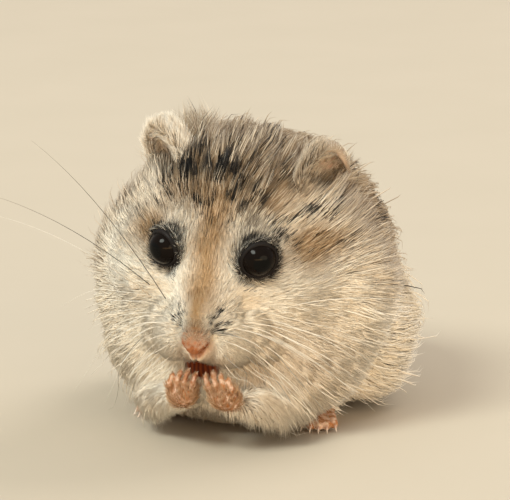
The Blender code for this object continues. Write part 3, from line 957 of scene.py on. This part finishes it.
def coat_piece(name, paths, normal, width, place, mark, tone, shader):
    """Closed three-sided hairs, each tapering to a point, as one mesh."""
    count, rings = paths.shape[0], paths.shape[1] - 1
    along = unit(np.gradient(paths, axis=1))
    aside = unit(np.cross(along, normal[:, None, :]))
    upward = np.cross(aside, along)
    reach = (width[:, None] * np.interp(np.arange(rings) / rings, *HAIR_TAPER))[:, :, None] / 2
    corners = []
    for degrees, _ in HAIR_CORNERS:
        turn = math.radians(degrees)
        outward = math.cos(turn) * aside[:, :rings] + HAIR_FLATNESS * math.sin(turn) * upward[:, :rings]
        corners.append(paths[:, :rings] + reach * outward)
    body = np.stack(corners, axis=2).reshape(count, rings * 3, 3)
    vertices = np.concatenate((body, paths[:, rings:]), axis=1)
    vertices[:, :, 2] = np.maximum(vertices[:, :, 2], FLOOR_GAP)
    each = rings * 3 + 1
    pattern = [(0, 2, 1)]
    for k in range(rings - 1):
        for i in range(3):
            a, b = 3 * k + i, 3 * k + (i + 1) % 3
            pattern += [(a, b, b + 3), (a, b + 3, a + 3)]
    last = 3 * (rings - 1)
    pattern += [(last + i, last + (i + 1) % 3, each - 1) for i in range(3)]
    faces = (np.array(pattern)[None] + np.arange(count)[:, None, None] * each).reshape(-1, 3)
    piece = new_piece(name, vertices.reshape(-1, 3), faces)
    mesh = piece.data
    across = np.array([spot for _ in range(rings) for _, spot in HAIR_CORNERS] + [0.0])
    share = np.array([k / rings for k in range(rings) for _ in range(3)] + [1.0])
    patch = np.stack((across, share - 0.5), axis=1) * PATCH
    spots = np.clip(place, PATCH, 1 - PATCH)[:, None, :] + patch[None]
    layer = mesh.uv_layers.new(name=MAP_NAME)
    layer.data.foreach_set("uv", spots.reshape(-1, 2)[faces.ravel()].astype(np.float32).ravel())
    put(mesh, "along", "FLOAT", np.tile(share, count))
    put(mesh, "marking", "FLOAT_COLOR", np.repeat(mark, each, axis=0))
    put(mesh, "tone", "FLOAT", np.repeat(tone, each))
    mesh.materials.append(shader)
    return piece


def put(mesh, name, kind, values):
    """Writes a value for each vertex."""
    attribute = mesh.attributes.new(name, kind, "POINT")
    field = "value" if kind == "FLOAT" else "color"
    attribute.data.foreach_set(field, np.asarray(values, np.float32).ravel())


def crownward(h, letter):
    """How far a place on an ear lies towards the crown."""
    middle, across, _, _ = ear_frame(letter)
    return ease(-SIDES[letter] * ((h - middle) @ across), 0.6, 2.2)


def ear_hair_length(h):
    """Fuzz on the ears, shortest on the left ear's rim and on the right ear's tip."""
    length = np.full(len(h), 1.5)
    for letter, longest in (("l", 1.6), ("r", 2.2)):
        _, y, _, edge = ear_place(h, letter)
        thinned = 1.0 - crownward(h, letter) if letter == "l" else 0.6 * ease(y, 0.0, 1.0)
        here = h[:, 0] * SIDES[letter] > 0
        length = np.where(here, longest - 1.2 * ease(edge, 0.65, 0.95) * thinned, length)
    return length


def length_and_rise(h, root, kind):
    """Each hair's length, and the share of it by which the hair stands out from the skin."""
    length = np.where(kind == EAR_PART, ear_hair_length(h), hair_length(h, root))
    on_palm = 1.0 - ease(root[:, 2], PALM_HEIGHT + 0.5, PALM_HEIGHT + 1.5)
    length = np.where(kind == PAW_PART, 0.5 + 0.6 * on_palm, length)
    length = np.where(kind == FOOT_PART, 0.7, length)
    rise = np.where(kind == EAR_PART, 0.5, np.where(kind > EAR_PART, 0.3, coat_rise(h)))
    return length, rise


def combed(h, root, normal, kind):
    """Which way each hair runs: with the coat, up the ears and the paws, and forward on the feet."""
    lie = lie_of_coat(root, h, normal)
    ways = [(kind == PAW_PART, (0.0, 0.0, 1.0)), (kind == FOOT_PART, (0.0, -1.0, 0.0))]
    for letter, side in SIDES.items():
        ways.append(((kind == EAR_PART) & (h[:, 0] * side > 0), ear_frame(letter)[2] @ HEAD_TURN.T))
    for here, way in ways:
        lie[here] = unit(tangent(np.array(way), normal[here]))
    return lie


# Shares of ochre, grey, dark and bare skin.
EAR_MARK = (0.08, 0.10, 0.01, 0.08)
EAR_BACK_MARK = (0.35, 0.35, 0.04, 0.05)
EAR_CROWN_MARK = (0.5, 0.4, 0.35, 0.0)
PAW_MARK = (0.85, 0.0, 0.0, 0.45)


def hair_marks(h, place, normal, kind):
    """Each hair's markings, from the place on the body that it covers."""
    mark = markings(place, kind)
    mark[kind == EAR_PART] = EAR_MARK
    left_ear = (kind == EAR_PART) & (h[:, 0] > 0)
    mark[left_ear & ((normal @ HEAD_TURN) @ ear_frame("l")[3] < 0.2)] = EAR_BACK_MARK
    mark[left_ear & (crownward(h, "l") > 0.3)] = EAR_CROWN_MARK
    mark[:, 3] = np.where(kind == FOOT_PART, 0.45, mark[:, 3] * 0.55)
    mark[kind == PAW_PART] = PAW_MARK
    return mark


def coat(vertices, triangles, normals, part, places, shader):
    """Every hair of the coat, in pieces from the nose back."""
    rng = np.random.default_rng(COAT_SEED)
    root, normal, kind, place = scattered(vertices, triangles, normals, part, places, rng)
    h = to_head(root)
    length, rise = length_and_rise(h, root, kind)
    lie = combed(h, root, normal, kind)
    pitch = LOCK_PITCH[0] + LOCK_PITCH[1] * length
    lock = locks(root, 1.0 / np.maximum(hair_density(h, root, kind) * pitch**2, 1.0), rng)
    shared = rng.random((len(root), 4))[lock]  # random shares that a lock's hairs have in common
    own = rng.random((len(root), 6))  # and those of each hair

    # Hairs turn and lean a little at random, by lock and on their own, and less on the face.
    soft = ease(length, 0.6, 2.5)
    face = 1.0 - ease(np.linalg.norm(h - NOSE, axis=1), 8.0, 14.0)
    calm = 1.0 - 0.75 * face
    upright = 0.4 + 0.6 * blob(h, (0.0, 9.0, 8.0), (12.0, 10.0, 8.0))
    turn = (shared[:, 0] - 0.5) * LOCK_TURN * upright * calm + (own[:, 0] - 0.5) * HAIR_TURN
    turn = np.radians(turn) * (0.4 + 0.6 * soft)
    lie = np.cos(turn)[:, None] * lie + np.sin(turn)[:, None] * np.cross(normal, lie)
    angle = np.arcsin(np.clip(rise, 0, 0.9)) - 0.024 * length * (kind == BODY_PART)
    lean = (shared[:, 1] - 0.5) * LOCK_LEAN * calm + (own[:, 1] - 0.5) * HAIR_LEAN
    angle = angle + np.radians(lean) * soft * upright
    length = length * (0.93 + 0.22 * (shared[:, 2] - 0.5) * calm + 0.20 * own[:, 2])
    stray = (own[:, 5] < STRAY_SHARE) & (kind == BODY_PART)
    length = np.where(stray, length * STRAY_LENGTH, length)
    angle = np.where(stray, angle + math.radians(STRAY_LEAN), angle)
    segments = np.where(length > LONG_HAIR, 3, np.where(length > SHORT_HAIR, 2, 1))
    bend = np.radians(HAIR_BEND[0] + HAIR_BEND[1] * length) * (segments > 1)

    # A dark share makes some of the hairs black, partly by lock, and hardly darkens the rest.
    mark = hair_marks(h, root + lie * (length * 0.75)[:, None], normal, kind)
    black = shared[:, 3] * 0.42 + own[:, 3] * 0.58 < mark[:, 2] * 0.74
    mark[:, 2] = np.where(black, 0.75 + 0.25 * np.maximum(own[:, 4], mark[:, 2]), mark[:, 2] * 0.12)
    by_lock = 0.35 - 0.27 * face
    tone = by_lock * shared[:, 2] + (1.0 - by_lock) * own[:, 4]

    # Each hair is drawn towards the hair in the middle of its lock, most at its tip.
    gather = 0.28 + 0.22 * ease(h[:, 2], 3.0, 7.0) + 0.10 * ease(h[:, 1], 6.0, 16.0) + 0.25 * face
    pull = np.where(stray, 0.1, gather * soft * (0.5 + 0.8 * own[:, 1]))
    width = np.interp(length, *HAIR_WIDTHS) * (0.8 + 0.4 * own[:, 4]) * (1.0 + 0.25 * face)
    from_front = h[:, 1] - 0.35 * h[:, 2]
    pieces = []
    for count, size_name in ((1, "fine"), (2, "short"), (3, "long")):
        chosen = np.flatnonzero(segments == count)
        chosen = chosen[np.argsort(from_front[chosen], kind="stable")]
        paths, middle = (
            hair_paths(root[k], normal[k], lie[k], length[chosen], angle[k], bend[chosen], count)
            for k in (chosen, lock[chosen])
        )
        share = (np.arange(count + 1) / count)[:, None]
        paths = paths + (middle - paths) * pull[chosen, None, None] * share**1.4
        wave = (own[chosen, :3] - 0.5) * (HAIR_WAVE * length[chosen])[:, None]
        paths += wave[:, None, :] * share**2
        keep = ~in_the_way(paths, kind[chosen])
        chosen, paths = chosen[keep], paths[keep]
        triangles_each = 6 * count - 2
        pieces_wanted = max(1, math.ceil(len(chosen) * triangles_each / COAT_LIMIT))
        for i, some in enumerate(np.array_split(np.arange(len(chosen)), pieces_wanted)):
            k = chosen[some]
            values = (paths[some], normal[k], width[k], place[k], mark[k], tone[k])
            pieces.append(coat_piece(f"coat_{size_name}_{i + 1}", *values, shader))
    return pieces


def in_the_way(paths, kind):
    """Hairs that would cross an open eye, the bare nose, the mouth or an ear's hollow."""
    found = np.zeros(len(paths), bool)
    for k in range(1, paths.shape[1]):
        h = to_head(paths[:, k])
        for letter in SIDES:
            _, distance, angle = eye_angles(h, letter)
            found |= (angle < LID_OPENING - 2.0) & (distance < EYE_RADIUS + 2.4)
            _, y, out, edge = ear_place(h, letter)
            hollow = (edge**2 < 0.60) & (out > -EAR_CUP) & (out < 1.5) & (y > 0.1)
            found |= hollow & (kind == BODY_PART)
        found |= (reach_of(h, (0.0, -9.7, -8.5), (1.3, 1.1, 1.3)) < 0.95) | (nostril_share(h) > 0.3)
        found |= (mouth_share(h) > 0.4) & (kind != PAW_PART)
    return found


# ------------------------ whiskers and claws


def thin_tubes(name, paths, radii, sides, shader, tones):
    """Many thin tapered tubes as one mesh, each darker or paler by its tone."""
    shells, tone, along = [], [], []
    for path, radius, shade in zip(paths, radii, tones):
        share = np.linspace(0.0, 1.0, len(path))
        shells.append(tube(path, radius * (1.0 - 0.85 * share), sides))
        tone.append(np.full(len(shells[-1][0]), shade))
        along.append(np.concatenate((np.repeat(share, sides), (0.0, 1.0))))
    piece = new_piece(name, *gathered(shells))
    put(piece.data, "tone", "FLOAT", np.concatenate(tone))
    put(piece.data, "along", "FLOAT", np.concatenate(along))
    piece.data.materials.append(shader)
    return piece


def lifted(path, tree):
    """Moves a path's points out of the skin until they lie over the coat."""
    path = path.copy()
    for _ in range(3):
        for i in range(2, len(path)):
            place, facing, _, _ = tree.find_nearest(path[i])
            wanted = WHISKER_CLEARANCE * min(1.0, (i - 1) / 4)
            height = (Vector(path[i]) - place).dot(facing)
            path[i] += np.array(facing) * max(0.0, wanted - height)
        path[1:-1] = path[1:-1] * 0.5 + (path[:-2] + path[2:]) * 0.25
    return path


def whiskers(shader, tree):
    """Rows of whiskers on each side of the muzzle, and a few long ones."""
    rng = np.random.default_rng(WHISKER_SEED)
    paths, radii, tones = [], [], []
    share = np.linspace(0, 1, 12)[:, None]
    for side in SIDES.values():
        for row in range(WHISKER_ROWS):
            for column in range(WHISKER_COLUMNS):
                start = WHISKER_START + np.array(WHISKER_PITCH) * (column, column, row)
                start = start * (side, 1.0, 1.0) + rng.normal(size=3) * 0.12
                lift = math.radians(2 - 14 * row) + rng.normal() * 0.06
                swept = math.radians(4 + 5 * column + rng.uniform(-5, 5))
                out = np.array((side * math.cos(swept), math.sin(swept), 0.0)) * math.cos(lift)
                out[2] = math.sin(lift)
                reach = (7.0 + 2.2 * column) * rng.uniform(0.8, 1.15)
                drop = np.array((0.0, 0.10, -1.0)) * reach * rng.uniform(0.35, 0.55)
                path = from_head(start + out * reach * share) + drop * share**2
                paths.append(lifted(path, tree))
                radii.append(rng.uniform(0.050, 0.070))
                tones.append(0.35 if rng.random() < 0.12 else rng.uniform(0.8, 1.0))
    for start, end, tone in LONG_WHISKERS:
        start, end = np.array(start), np.array(end)
        bow = np.array((0.0, 0.0, BOW)) * np.linalg.norm(end - start)
        paths.append(from_head(start + (end - start) * share + bow * 4 * share * (1 - share)))
        radii.append(0.055)
        tones.append(tone)
    return thin_tubes("whiskers", above_floor(paths, 0.1), radii, WHISKER_SIDES, shader, tones)


def above_floor(paths, height):
    """Keeps paths from dipping under a height."""
    return [np.column_stack((path[:, :2], np.maximum(path[:, 2], height))) for path in paths]


def claws(shader):
    """A small curved claw on every finger and toe."""
    paths, radii = [], []
    for letter in SIDES:
        for digits, back, lift, curl, length, radius in (
            (forepaw_paths(letter)[1], 0.15, 0.0, (0.0, 0.5, -0.2), 0.55, 0.11),
            (hind_toes(letter), 0.0, 0.12, (0.0, 0.0, -0.5), 0.9, 0.20),
        ):
            t = np.linspace(0.0, length, 6)[:, None]
            for digit in digits:
                ahead = unit(digit[-1] - digit[-3])
                start = digit[-1] - ahead * back + np.array((0.0, 0.0, lift))
                paths.append(start + ahead * t + np.array(curl) * t * t)
                radii.append(radius)
    tones = [0.5] * len(paths)
    return thin_tubes("claws", above_floor(paths, 0.12), radii, CLAW_SIDES, shader, tones)


def eyeball(letter, shader):
    """A glossy ball with a slightly bulging cornea."""
    vertices, faces = ball((0, 0, 0), (EYE_RADIUS,) * 3, detail=4, head=False)
    facing = unit(vertices) @ eye_look(letter)
    vertices = vertices * (1.0 + 0.035 * ease(facing, 0.55, 1.0))[:, None]
    piece = new_piece(f"eyeball_{letter}", from_head(vertices + EYES[letter]), faces)
    put(piece.data, "look", "FLOAT", facing)
    piece.data.materials.append(shader)
    return piece


# ------------------------ materials


def material(name):
    """A new material, its node tree and its shader."""
    made = bpy.data.materials.new(name)
    made.use_nodes = True
    return made, made.node_tree, made.node_tree.nodes["Principled BSDF"]


def feed(tree, value, socket):
    """Gives a socket another node's output, or a plain value."""
    if isinstance(value, bpy.types.NodeSocket):
        tree.links.new(value, socket)
    else:
        socket.default_value = value


def finished(tree, shader, colour, values):
    """Gives a shader its colour and its plain values."""
    tree.links.new(colour, shader.inputs["Base Color"])
    for name, value in values.items():
        shader.inputs[name].default_value = value


def read(tree, name):
    node = tree.nodes.new("ShaderNodeAttribute")
    node.attribute_name = name
    return node


def read_four(tree, name):
    """The four columns of a colour attribute."""
    node = read(tree, name)
    parts = tree.nodes.new("ShaderNodeSeparateColor")
    tree.links.new(node.outputs["Color"], parts.inputs[0])
    return (*parts.outputs, node.outputs["Alpha"])


def mixed(tree, share, first, second):
    """A colour between two: each is a colour or another node's output."""
    node = tree.nodes.new("ShaderNodeMix")
    node.data_type = "RGBA"
    for value, place in ((share, 0), (first, 6), (second, 7)):
        feed(tree, value, node.inputs[place])
    return node.outputs[2]


def times(tree, a, b):
    node = tree.nodes.new("ShaderNodeMath")
    node.operation = "MULTIPLY"
    feed(tree, a, node.inputs[0])
    feed(tree, b, node.inputs[1])
    return node.outputs[0]


def ramped(tree, source, low, high, to_low=0.0, to_high=1.0):
    """Smooth steps from one range of values to another."""
    node = tree.nodes.new("ShaderNodeMapRange")
    node.interpolation_type = "SMOOTHSTEP"
    for socket, value in zip(node.inputs[:5], (source, low, high, to_low, to_high)):
        feed(tree, value, socket)
    return node.outputs[0]


def noise(tree, scale, detail=3.0):
    """Noise fixed to the object, in waves to the metre."""
    node = tree.nodes.new("ShaderNodeTexNoise")
    node.inputs["Scale"].default_value = scale
    node.inputs["Detail"].default_value = detail
    where = tree.nodes.new("ShaderNodeTexCoord")
    tree.links.new(where.outputs["Object"], node.inputs["Vector"])
    return node.outputs["Fac"]


CREAM = (0.96, 0.89, 0.78, 1.0)
# Cream with painted shade, for the roots of cream hairs deep in the coat and for the skin under the coat.
CREAM_SHADE = (0.91, 0.82, 0.68, 1.0)
OCHRE = (0.42, 0.235, 0.085, 1.0)
OCHRE_TIP = (0.57, 0.35, 0.15, 1.0)
GREY = (0.24, 0.18, 0.12, 1.0)
SLATE = (0.045, 0.038, 0.034, 1.0)
SILVER = (0.72, 0.66, 0.56, 1.0)
BLACK = (0.010, 0.009, 0.009, 1.0)
FLESH_PINK = (0.44, 0.185, 0.07, 1.0)
EAR_PINK = (0.86, 0.66, 0.53, 1.0)
EAR_CREAM = (0.28, 0.215, 0.155, 1.0)
NOSE_PINK = (0.34, 0.125, 0.052, 1.0)
# The mouth's red darkened by painted shade, in darker and lighter stripes. The fingertips and the nostrils
# take it too.
MOUTH_SHADE_RED = (0.09, 0.016, 0.008, 1.0)
MOUTH_SHADE_ORANGE = (0.25, 0.050, 0.010, 1.0)
RIM_BLACK = (0.012, 0.010, 0.010, 1.0)
EYE_DARK = (0.003, 0.002, 0.0015, 1.0)
EYE_BROWN = (0.007, 0.004, 0.003, 1.0)
PUPIL = (0.003, 0.003, 0.003, 1.0)
PALE_WHISKER = ((0.75, 0.63, 0.48, 1.0), (0.98, 0.95, 0.88, 1.0))  # root and tip
DARK_WHISKER = ((0.03, 0.025, 0.02, 1.0), (0.22, 0.18, 0.14, 1.0))
CLAW = ((0.62, 0.38, 0.30, 1.0), (0.86, 0.76, 0.66, 1.0))
PAPER = ((0.50, 0.44, 0.355, 1.0), (0.53, 0.465, 0.38, 1.0))
MOUTH_SHADE_STRIPES = 520.0  # stripes of painted shade, about 0.6 mm apart
SKIN_GRAIN, NOSE_SPECKLE, EYE_GRAIN, PAPER_GRAIN = 1600.0, 2600.0, 900.0, 40.0


def coat_material():
    """Hairs in the colours of their markings, from a darker root to a paler tip. On cream hairs the darker
    root is painted shade deep in the coat.
    """
    made, tree, shader = material("coat_fur")
    ochre_share, grey_share, dark_share, flesh_share = read_four(tree, "marking")
    along = read(tree, "along").outputs["Fac"]
    tone = read(tree, "tone").outputs["Fac"]
    cream = mixed(tree, ramped(tree, along, 0.0, 0.7), CREAM_SHADE, CREAM)
    ochre = mixed(tree, ramped(tree, along, 0.25, 1.0), OCHRE, OCHRE_TIP)
    ochre = mixed(tree, times(tree, tone, 0.18), ochre, CREAM)
    colour = mixed(tree, ochre_share, cream, ochre)
    grey = mixed(tree, ramped(tree, along, 0.15, 0.6), SLATE, GREY)
    grey = mixed(tree, ramped(tree, tone, 0.45, 0.95), grey, SILVER)
    colour = mixed(tree, times(tree, grey_share, 0.75), colour, grey)
    colour = mixed(tree, dark_share, colour, BLACK)
    colour = mixed(tree, flesh_share, colour, FLESH_PINK)
    level = tree.nodes.new("ShaderNodeHueSaturation")
    tree.links.new(colour, level.inputs["Color"])
    tree.links.new(ramped(tree, tone, 0.0, 1.0, 0.87, 1.06), level.inputs["Value"])
    finished(tree, shader, level.outputs[0], {"Roughness": 0.62, "Specular IOR Level": 0.30})
    return made


def skin_material():
    """The coat's colours under the coat, and flesh where the skin is bare. The mouth's dark red is its own
    red with painted shade, and painted shade also darkens the fingertips below it and the nostrils.
    """
    made, tree, shader = material("hamster_skin")
    ochre, grey, dark, bare = read_four(tree, "marking")
    nose, mouth, rim, ear = read_four(tree, "detail")
    grain = noise(tree, SKIN_GRAIN)
    colour = mixed(tree, ochre, CREAM_SHADE, OCHRE)
    colour = mixed(tree, times(tree, grey, 0.9), colour, SLATE)
    colour = mixed(tree, times(tree, dark, 0.8), colour, BLACK)
    flesh = mixed(tree, ramped(tree, grain, 0.35, 0.7), FLESH_PINK, EAR_PINK)
    flesh = mixed(tree, ear, mixed(tree, ramped(tree, ear, 0.0, 0.15), flesh, EAR_PINK), EAR_CREAM)
    flesh = mixed(tree, nose, flesh, NOSE_PINK)
    colour = mixed(tree, bare, colour, flesh)
    speckle = ramped(tree, noise(tree, NOSE_SPECKLE, 1.0), 0.60, 0.72)
    colour = mixed(tree, times(tree, times(tree, speckle, nose), 0.5), colour, GREY)
    # Painted shade: the mouth's dark red runs in darker and lighter stripes.
    shade_stripes = tree.nodes.new("ShaderNodeTexWave")
    shade_stripes.inputs["Scale"].default_value = MOUTH_SHADE_STRIPES
    shade_stripes.inputs["Distortion"].default_value = 2.0
    where = tree.nodes.new("ShaderNodeTexCoord")
    tree.links.new(where.outputs["Object"], shade_stripes.inputs["Vector"])
    colour = mixed(tree, mouth, colour, mixed(tree, shade_stripes.outputs["Fac"], MOUTH_SHADE_RED, MOUTH_SHADE_ORANGE))
    colour = mixed(tree, rim, colour, RIM_BLACK)
    tree.links.new(ramped(tree, grain, 0.3, 0.7, 0.42, 0.62), shader.inputs["Roughness"])
    bump = tree.nodes.new("ShaderNodeBump")
    bump.inputs["Strength"].default_value = 0.5
    bump.inputs["Distance"].default_value = 0.0001
    tree.links.new(grain, bump.inputs["Height"])
    tree.links.new(bump.outputs["Normal"], shader.inputs["Normal"])
    finished(tree, shader, colour, {
        "Specular IOR Level": 0.12,
        "Subsurface Weight": 0.15,
        "Subsurface Radius": (1.0, 0.35, 0.2),
        "Subsurface Scale": 0.0006,
    })
    return made


def eye_material():
    """Almost black, a little browner around the pupil."""
    made, tree, shader = material("eye_black")
    look = read(tree, "look").outputs["Fac"]
    iris = mixed(tree, noise(tree, EYE_GRAIN), EYE_DARK, EYE_BROWN)
    colour = mixed(tree, ramped(tree, look, 0.86, 0.92), iris, PUPIL)
    finished(tree, shader, colour, {
        "Roughness": 0.12,
        "Specular IOR Level": 0.05,
        "Coat Weight": 0.08,
        "Coat Roughness": 0.06,
    })
    return made


def whisker_material():
    """Pale or dark by each whisker's tone, and paler towards the tip."""
    made, tree, shader = material("whisker")
    tone = read(tree, "tone").outputs["Fac"]
    along = read(tree, "along").outputs["Fac"]
    pale = mixed(tree, ramped(tree, along, 0.0, 0.5), *PALE_WHISKER)
    dark = mixed(tree, ramped(tree, along, 0.3, 1.0), *DARK_WHISKER)
    finished(tree, shader, mixed(tree, tone, dark, pale), {"Roughness": 0.4})
    return made


def claw_material():
    made, tree, shader = material("claw")
    along = read(tree, "along").outputs["Fac"]
    finished(tree, shader, mixed(tree, ramped(tree, along, 0.1, 0.8), *CLAW), {"Roughness": 0.35})
    return made


def floor_material():
    made, tree, shader = material("floor_paper")
    finished(tree, shader, mixed(tree, noise(tree, PAPER_GRAIN), *PAPER), {"Roughness": 0.9})
    return made


# ------------------------ the animal


def details(p, part, normals):
    """Columns are nose, inside of the mouth, eye rim and the ear's paler edge. The mouth's column also paints
    shade on the fingertips below the lip and in the nostrils, and the rim's column paints black shade in the
    nostrils.
    """
    h = to_head(p)
    nose = (1.0 - ease(nose_distance(h), 0.95, 1.25)) * (1.0 - 0.45 * ease(-h[:, 2], 7.4, 8.8))
    mouth = ease(mouth_share(h), 0.15, 0.6)
    # Painted shadow of the upper lip on the fingertips, in the mouth's dark red, darker on the sides that
    # face the next finger.
    fingers = blob(p - BODY_SHIFT, (-0.2, -5.9, PALM_HEIGHT + 2.6), (2.5, 2.5, 1.6))
    shade_between_fingers = 0.5 + 0.5 * ease(np.abs(normals[:, 0]), 0.3, 0.8)
    mouth = np.where(part == PAW_PART, fingers * shade_between_fingers, mouth)
    mouth[part == MUZZLE_PART] *= 0.4
    # Painted shade in the nostrils: the mouth's dark red, and part of the rim's black.
    nostrils = nostril_share(h) * (part == MUZZLE_PART)
    mouth = np.clip(np.maximum(mouth, nostrils), 0, 1)
    rim, ears = 0.6 * nostrils, np.zeros(len(p))
    for letter in SIDES:
        _, distance, angle = eye_angles(h, letter)
        shade = 1.0 - ease(angle, LID_OPENING + 15.0, LID_OPENING + 22.0)
        rim = np.maximum(rim, shade * (distance < EYE_RADIUS + 1.2))
        edge = ear_place(h, letter)[3]
        on_ear = (part == EAR_PART) & (edge < 1.6)
        ears = np.where(on_ear, np.maximum(ears, 0.15 + 0.85 * ease(edge, 0.6, 0.95)), ears)
    return np.column_stack((nose, mouth, rim, ears))


def build():
    """Every piece of the animal, riding on its one body."""
    eye_shader = eye_material()
    vertices, triangles, part = whole_skin()
    normals = normals_of(vertices, triangles)
    skin = new_piece("skin", vertices, triangles)
    put(skin.data, "marking", "FLOAT_COLOR", markings(vertices, part))
    put(skin.data, "detail", "FLOAT_COLOR", details(vertices, part, normals))
    skin.data.materials.append(skin_material())
    places = unwrapped(skin)
    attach(skin, "root")
    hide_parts(*FLESH, *FINE)
    for piece in coat(vertices, triangles, normals, part, places, coat_material()):
        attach(piece, "root")
    for letter in SIDES:
        piece = eyeball(letter, eye_shader)
        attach(piece, "root")
        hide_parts(f"eye_{letter}")
    covered = triangles[part[triangles[:, 0]] <= MUZZLE_PART]
    tree = BVHTree.FromPolygons(vertices.tolist(), covered.tolist())
    for piece, slot in ((whiskers(whisker_material(), tree), "whisker"), (claws(claw_material()), "claw")):
        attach(piece, "root")


build()

# ------------------------ stage, lights and camera, in metres

FLOOR_SIZE = 6.0
TARGET = (0.0, -0.01, 0.02)
# Name, place, size, power and colour.
LIGHTS = (
    ("key", (-0.60, -1.15, 1.40), (0.85, 0.65), 26.5, (0.95, 1.0, 0.91)),
    ("fill", (1.50, -1.10, 0.35), (1.80, 1.20), 13.2, (1.0, 0.80, 0.50)),
    ("bounce", (0.45, -1.30, 0.09), (1.40, 0.14), 3.4, (1.0, 0.55, 0.20)),
    ("rim", (0.75, 1.35, 1.35), (1.20, 0.90), 18.0, (1.0, 0.95, 0.88)),
)
SKY = (0.88, 0.83, 0.75, 1.0)
SKY_STRENGTH = 0.78
LENS = 205.0
SENSOR = 36.0
AZIMUTH = math.radians(16.8)
ELEVATION = math.radians(13.0)
DISTANCE = 0.35
# How far the point between the eyes lies right and up from the picture's middle, as shares of its width.
EYES_ASIDE, EYES_UP = -1 / 12, -0.00392

scene = bpy.context.scene
corners = np.array([(-1, -1, 0), (1, -1, 0), (1, 1, 0), (-1, 1, 0)]) * FLOOR_SIZE / 2
floor = new_piece("floor", corners / MM, np.array([[0, 1, 2, 3]]))
floor.data.materials.append(floor_material())

for name, place, size, power, colour in LIGHTS:
    light = bpy.data.lights.new(name, "AREA")
    light.shape = "ELLIPSE"
    light.size, light.size_y = size
    light.energy = power
    light.color = colour
    holder = bpy.data.objects.new(name, light)
    holder.location = place
    holder.rotation_euler = (Vector(TARGET) - Vector(place)).to_track_quat("-Z", "Y").to_euler()
    scene.collection.objects.link(holder)

world = bpy.data.worlds.new("studio")
scene.world = world
world.use_nodes = True
background = world.node_tree.nodes["Background"]
background.inputs["Color"].default_value = SKY
background.inputs["Strength"].default_value = SKY_STRENGTH
scene.view_settings.view_transform = "Standard"

flat = math.cos(ELEVATION)
back = Vector((math.sin(AZIMUTH) * flat, -math.cos(AZIMUTH) * flat, math.sin(ELEVATION)))
right = Vector((math.cos(AZIMUTH), math.sin(AZIMUTH), 0.0))
view_width = SENSOR / LENS * DISTANCE
aim = Vector(EYE_MIDDLE * MM) - (right * EYES_ASIDE + back.cross(right) * EYES_UP) * view_width
camera_data = bpy.data.cameras.new("camera")
camera_data.lens = LENS
camera_data.sensor_width = SENSOR
camera_data.clip_start = 0.01
camera = bpy.data.objects.new("camera", camera_data)
camera.location = aim + back * DISTANCE
camera.rotation_euler = back.to_track_quat("Z", "Y").to_euler()
scene.collection.objects.link(camera)
scene.camera = camera
